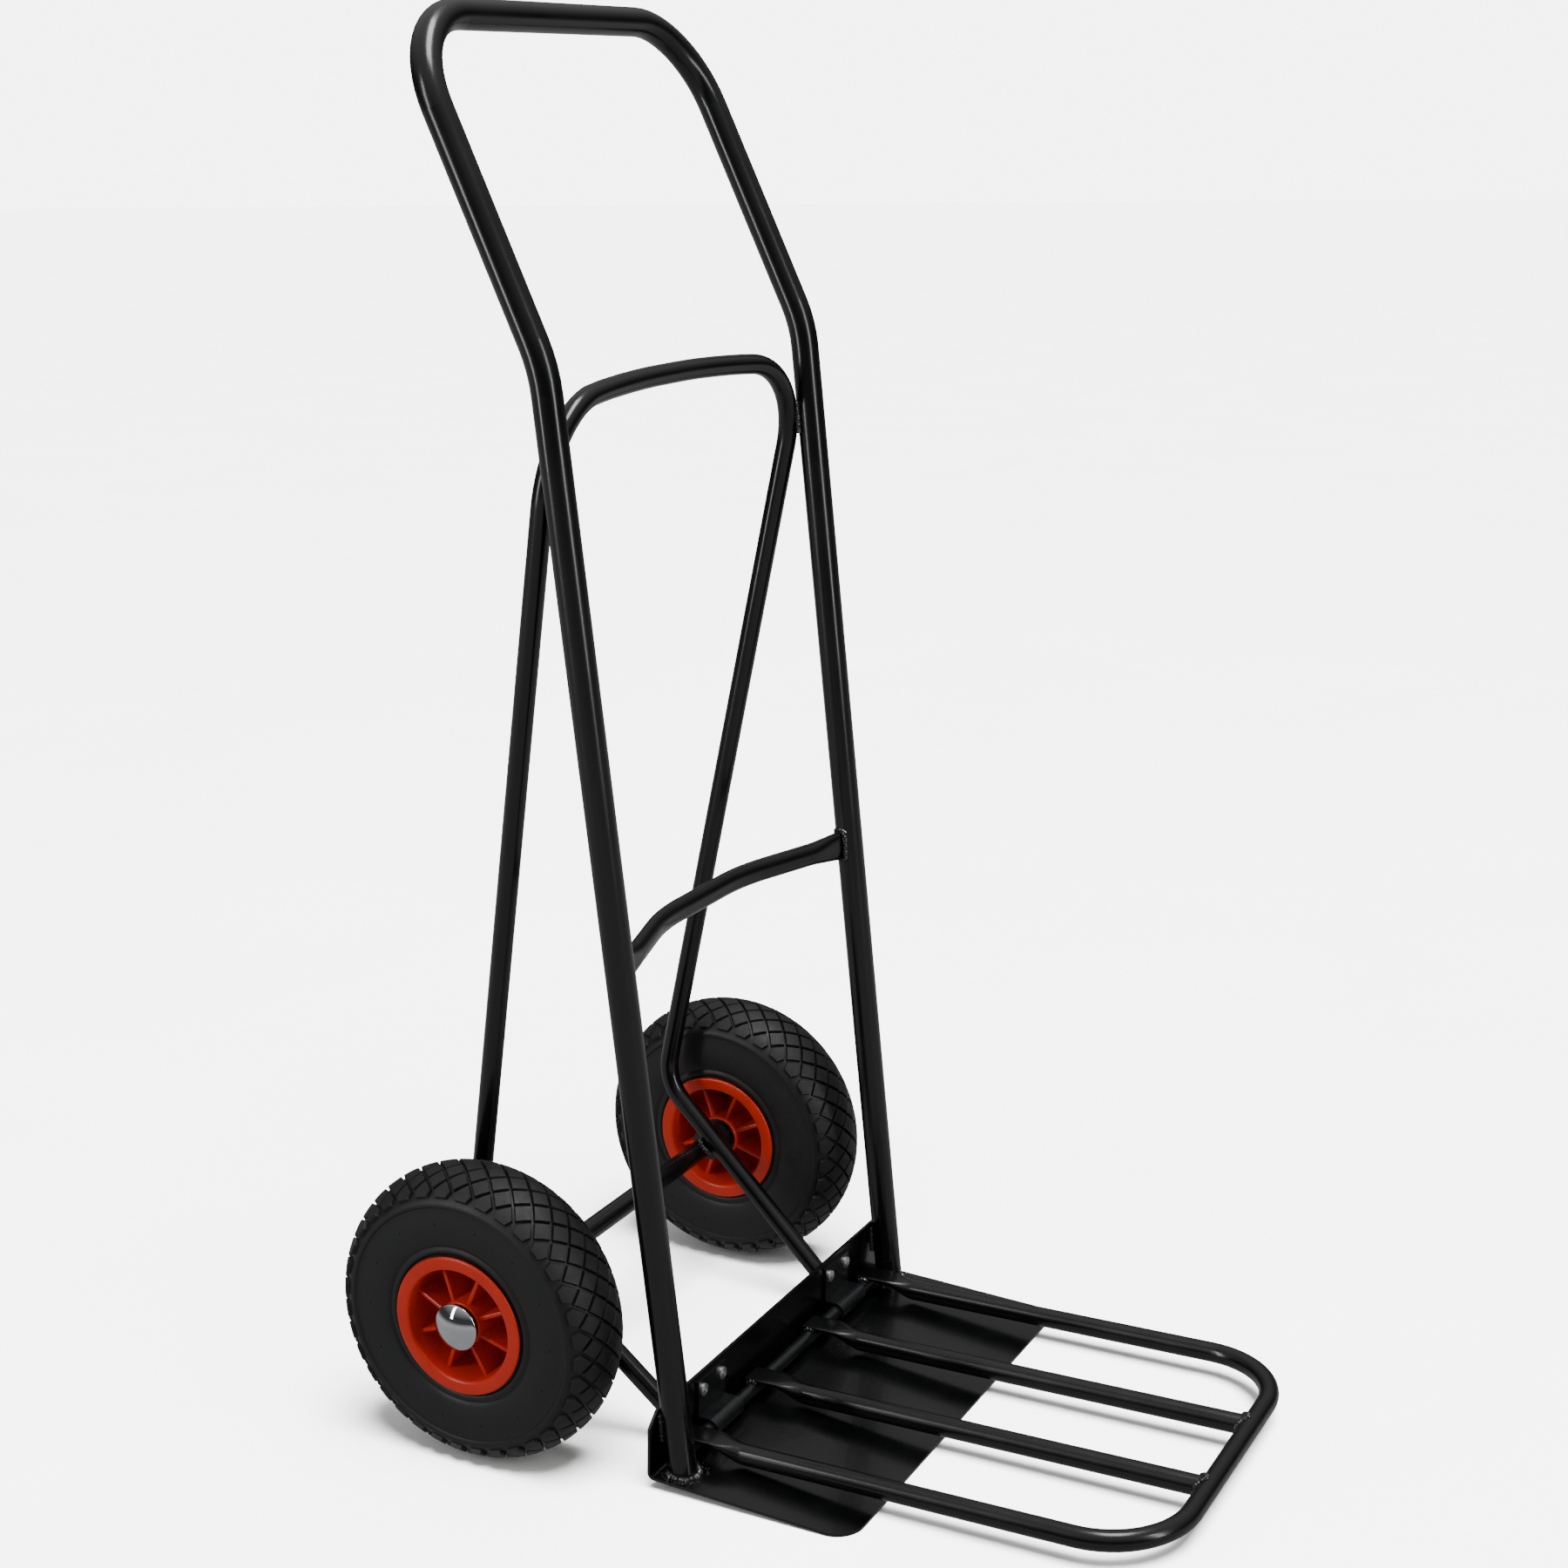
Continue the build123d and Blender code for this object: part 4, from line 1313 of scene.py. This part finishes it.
@dataclass
class Grate:
    """The folding load grate and its welds. Sizes are in millimetres, the rise in degrees."""

    paint: Paintbox
    bar_r: float = SMALL_TUBE_R
    front: tuple[float, float] = (-352.2, 23.35)
    inner_x: float = 54.1
    rod: tuple[float, float] = (58.8, 20.2)
    rod_r: float = 6.0
    tongue_edges: tuple[float, ...] = (43.2, 65.4, 154.6, 177.0)
    outer_x: float = 165.95
    reach: float = 411.0
    corner_r: float = 72.0
    rise: float = 0.45
    tongue_w: float = 24.0
    tongue_t: float = 3.6
    tongue_z: float = 7.9
    tongue_back: float = 7.0
    tip_round: float = 0.8
    tongue_power: float = 5.0
    swell_from: float = 19.0
    swell_length: float = 29.0
    bead_out: float = 0.5
    saddle_out: float = 0.7
    saddle_least: float = 2.5
    rod_bead_arc: tuple[float, float] = (52.0, 128.0)
    bead: WeldBead = field(default_factory=lambda: WeldBead(radius=0.0024, lump=0.0005, seed=9))

    def build(self) -> None:
        """Make the grate's bars and weld them."""
        pivot = Matrix.Translation(Vector((0.0, *self.rod)) * MM)
        place = pivot @ Matrix.Rotation(math.radians(-self.rise), 4, "X") @ Matrix.Scale(MM, 4)
        outer = self.paint.dress(swept("outer_bar", self.outer_stations(), place), ENAMEL)
        on_body(outer, "grate", "black_paint", "grate_outer_tube")
        for side in Side:
            bar = swept(f"inner_bar_{side.label}", self.inner_stations(self.inner_x * side.value), place)
            on_body(self.paint.dress(bar, ENAMEL), "grate", "black_paint", f"grate_inner_bar_{side.label}")
        paths = [self.saddle()] + [self.tongue_weld(x) for x in self.tongue_edges]
        both = [mirrored(path, side) for path in paths for side in Side]
        welds = self.bead.along("grate_welds", both, self.paint.get(WELD_ENAMEL))
        on_body(welds, "grate", "black_paint")

    def tongue(self, x: float, steps: int = 14) -> list[Station]:
        """Shape a bar's rear end, from its flat tip to the full round tube.

        Args:
            x: Place of the bar across the truck.
            steps: Number of cross-sections in the swell.

        Returns:
            The cross-sections in order.
        """
        flat_w, flat_h = self.tongue_w / 2, self.tongue_t / 2
        tip, back = self.tip_round, self.tongue_back
        out = []
        for y, trim in ((back, tip), (back - tip, 0.0), (-self.swell_from, 0.0)):
            across, upright = Vector((flat_w - trim, 0, 0)), Vector((0, 0, flat_h - trim))
            out.append(Station(Vector((x, y, self.tongue_z)), across, upright, self.tongue_power))
        for i in range(1, steps + 1):
            t = i / steps
            ease = eased(t)
            half_w = flat_w + (self.bar_r - flat_w) * ease
            half_h = flat_h + (self.bar_r - flat_h) * ease
            centre = Vector((x, -self.swell_from - self.swell_length * t, self.tongue_z * (1 - ease)))
            power = self.tongue_power - (self.tongue_power - 2.0) * ease**0.5
            out.append(Station(centre, Vector((half_w, 0, 0)), Vector((0, 0, half_h)), power))
        return out

    def inner_stations(self, x: float, into_front: float = 6.0) -> list[Station]:
        """Shape an inner bar, from its flat rear end into the front bar.

        Args:
            x: Place of the bar across the truck.
            into_front: How far short of the front bar's middle it ends.

        Returns:
            The cross-sections in order.
        """
        across, upright = Vector((self.bar_r, 0, 0)), Vector((0, 0, self.bar_r))
        return self.tongue(x) + [Station(Vector((x, into_front - self.reach, 0)), across, upright)]

    def outer_stations(self, steps: int = 16) -> list[Station]:
        """Shape the outer bar, from one flat end round the front to the other.

        Args:
            steps: Number of steps round each front corner.

        Returns:
            The cross-sections in order.
        """
        half = self.tongue(self.outer_x)
        middle = Vector((self.outer_x - self.corner_r, self.corner_r - self.reach, 0))
        for i in range(steps + 1):
            a = math.pi / 2 * i / steps
            way = Vector((math.cos(a), -math.sin(a), 0))
            half.append(Station(middle + way * self.corner_r, way * self.bar_r, Vector((0, 0, self.bar_r))))
        other = [Station(flipped(s.centre), flipped(s.across), s.upright, s.power) for s in reversed(half)]
        return half + other

    def saddle(self, steps: int = 40) -> Path:
        """Run a bead round an inner bar where it meets the front bar.

        Args:
            steps: Number of points round the bar.

        Returns:
            The closed path.
        """
        points, reach = [], self.bar_r + self.bead_out
        for i in range(steps):
            a = 2 * math.pi * i / steps
            rise = self.bar_r * math.sin(a)
            back = math.sqrt(max(self.bar_r**2 - rise**2, self.saddle_least)) + self.saddle_out
            spot = (self.inner_x + reach * math.cos(a), self.front[0] + back, self.front[1] + rise)
            points.append(Vector(spot))
        return points, True

    def tongue_weld(self, x: float, steps: int = 8) -> Path:
        """Run a short bead over the rod along one edge of a flattened bar end.

        Args:
            x: Place of the edge across the truck.
            steps: Number of steps along the bead.

        Returns:
            The open path.
        """
        points, reach = [], self.rod_r + self.bead_out
        start, stop = self.rod_bead_arc
        for i in range(steps + 1):
            a = math.radians(start + (stop - start) * i / steps)
            points.append(Vector((x, self.rod[0] + reach * math.cos(a), self.rod[1] + reach * math.sin(a))))
        return points, False


# ---------------------------------------------------------------------------------------------
# Studio
# ---------------------------------------------------------------------------------------------
@dataclass
class Studio:
    """Floor, lights and camera. Lengths are in metres, angles in degrees."""

    azimuth: float = -61.716
    elevation: float = 14.861
    roll: float = -1.3245
    eye: tuple[float, float, float] = (-1.77509, -0.90644, 1.08695)
    lens: float = 57.055
    sensor: float = 36.0
    floor_reach: float = 30.0
    backdrop: float = 6.0
    room_strength: float = 1.0
    sun_strength: float = 20.0
    sun_width: float = 34.0
    sun_tilt: tuple[float, float] = (14.0, -10.0)
    # height, from 0 straight down over 0.5 at the horizon to 1 straight up, and the room's brightness there
    room: tuple[tuple[float, float], ...] = (
        (0.001, 0.35),
        (0.3, 0.4),
        (0.4, 0.5),
        (0.48, 0.06),
        (0.58, 0.05),
        (0.68, 0.22),
        (0.85, 0.55),
        (0.999, 0.7),
    )

    def build(self) -> None:
        """Make the camera, the lights, the sky and the floor."""
        self._camera()
        self._sky()
        self._floor()
        # a long overhead box, a tall box at the left and a weaker fill at the right
        self._panel("overhead", (0.2, -0.4, 3.4), (0.0, 0.0, 0.4), (1.6, 0.9), 70.0)
        self._panel("left_wall", (-2.7, 1.7, 1.5), (0.0, 0.1, 0.6), (0.4, 2.4), 38.0)
        self._panel("right_wall", (-0.6, -3.2, 1.5), (0.0, 0.0, 0.5), (0.5, 2.4), 40.0)
        LOG.info("studio ready")

    def _camera(self) -> None:
        """Place the camera at its eye point, turned by azimuth, elevation and roll."""
        a, e, r = (math.radians(x) for x in (self.azimuth, self.elevation, self.roll))
        back = Vector((math.sin(a) * math.cos(e), -math.cos(a) * math.cos(e), math.sin(e)))
        level = (-back).cross(Vector((0, 0, 1))).normalized()
        up = level.cross(-back)
        right = level * math.cos(r) + up * math.sin(r)
        true_up = right.cross(-back)
        data = bpy.data.cameras.new("camera")
        data.lens, data.sensor_width = self.lens, self.sensor
        data.clip_start, data.clip_end = 0.05, 50.0
        camera = bpy.data.objects.new("camera", data)
        turn = Matrix((right, true_up, back)).transposed().to_4x4()
        camera.matrix_world = Matrix.Translation(Vector(self.eye)) @ turn
        bpy.context.scene.collection.objects.link(camera)
        bpy.context.scene.camera = camera

    def _sky(self) -> None:
        """Surround the truck with a white backdrop and a dimmer room that it mirrors."""
        world = bpy.data.worlds.new("studio")
        world.use_nodes = True
        tree = world.node_tree
        room = tree.nodes["Background"]
        way = add_node(tree, "ShaderNodeTexCoord").outputs["Generated"]
        rise = add_node(tree, "ShaderNodeSeparateXYZ", {0: way}).outputs["Z"]
        ends = {"Value": rise, "From Min": -1.0, "From Max": 1.0}
        height = add_node(tree, "ShaderNodeMapRange", ends).outputs[0]
        ramp = add_node(tree, "ShaderNodeValToRGB", {0: height})
        stops = ramp.color_ramp.elements
        for spot, level in self.room:
            stop = stops.new(spot)
            stop.color = (level, level, level, 1.0)
        stops.remove(stops[0])
        stops.remove(stops[len(stops) - 1])
        tree.links.new(ramp.outputs[0], room.inputs["Color"])
        room.inputs["Strength"].default_value = self.room_strength
        white = {"Color": (1.0, 1.0, 1.0, 1.0), "Strength": self.backdrop}
        backdrop = add_node(tree, "ShaderNodeBackground", white)
        seen = add_node(tree, "ShaderNodeLightPath").outputs["Is Camera Ray"]
        mixed = add_node(tree, "ShaderNodeMixShader", {0: seen, 1: room.outputs[0], 2: backdrop.outputs[0]})
        tree.links.new(mixed.outputs[0], tree.nodes["World Output"].inputs[0])
        bpy.context.scene.world = world

    def _floor_light(self, floor: bpy.types.Object) -> None:
        """Light the floor alone, evenly out to the horizon, from a wide soft sun overhead.

        Args:
            floor: The floor.
        """
        data = bpy.data.lights.new("ceiling", "SUN")
        data.energy, data.angle = self.sun_strength, math.radians(self.sun_width)
        lamp = bpy.data.objects.new("ceiling", data)
        lamp.rotation_euler = (*(math.radians(tilt) for tilt in self.sun_tilt), 0.0)
        bpy.context.scene.collection.objects.link(lamp)
        lit = bpy.data.collections.new("floor_only")
        lit.objects.link(floor)
        lamp.light_linking.receiver_collection = lit

    def _floor(self) -> None:
        """Lay a wide pale floor just under the tyres, hidden from reflections."""
        reach = self.floor_reach
        corners = [(-reach, -reach, 0.0), (reach, -reach, 0.0), (reach, reach, 0.0), (-reach, reach, 0.0)]
        floor = mesh_object("floor", corners, [(0, 1, 2, 3)])
        floor.data.materials.append(FLOOR_PAINT.build())
        floor.visible_glossy = floor.visible_diffuse = False
        self._floor_light(floor)

    def _panel(
        self,
        name: str,
        spot: tuple[float, float, float],
        target: tuple[float, float, float],
        size: tuple[float, float],
        power: float,
    ) -> None:
        """Hang one soft box.

        Args:
            name: Name of the light.
            spot: Where it hangs.
            target: What it points at.
            size: Width and height.
            power: Power in watts.
        """
        data = bpy.data.lights.new(name, "AREA")
        data.shape, data.size, data.size_y, data.energy = "RECTANGLE", size[0], size[1], power
        lamp = bpy.data.objects.new(name, data)
        lamp.location = spot
        lamp.rotation_euler = (Vector(target) - Vector(spot)).to_track_quat("-Z", "Y").to_euler()
        bpy.context.scene.collection.objects.link(lamp)


def main() -> None:
    """Build every sub-assembly in order, then the studio."""
    logging.basicConfig(level=logging.INFO, format="%(name)s: %(message)s")
    paint = Paintbox()
    TubeFrame(paint).build()
    RearBrace(paint).build()
    CrossBrace(paint).build()
    Hinge(paint).build()
    Grate(paint).build()
    for side in Side:
        Wheel(side, paint).build()
    Studio().build()


if __name__ == "__main__":
    main()
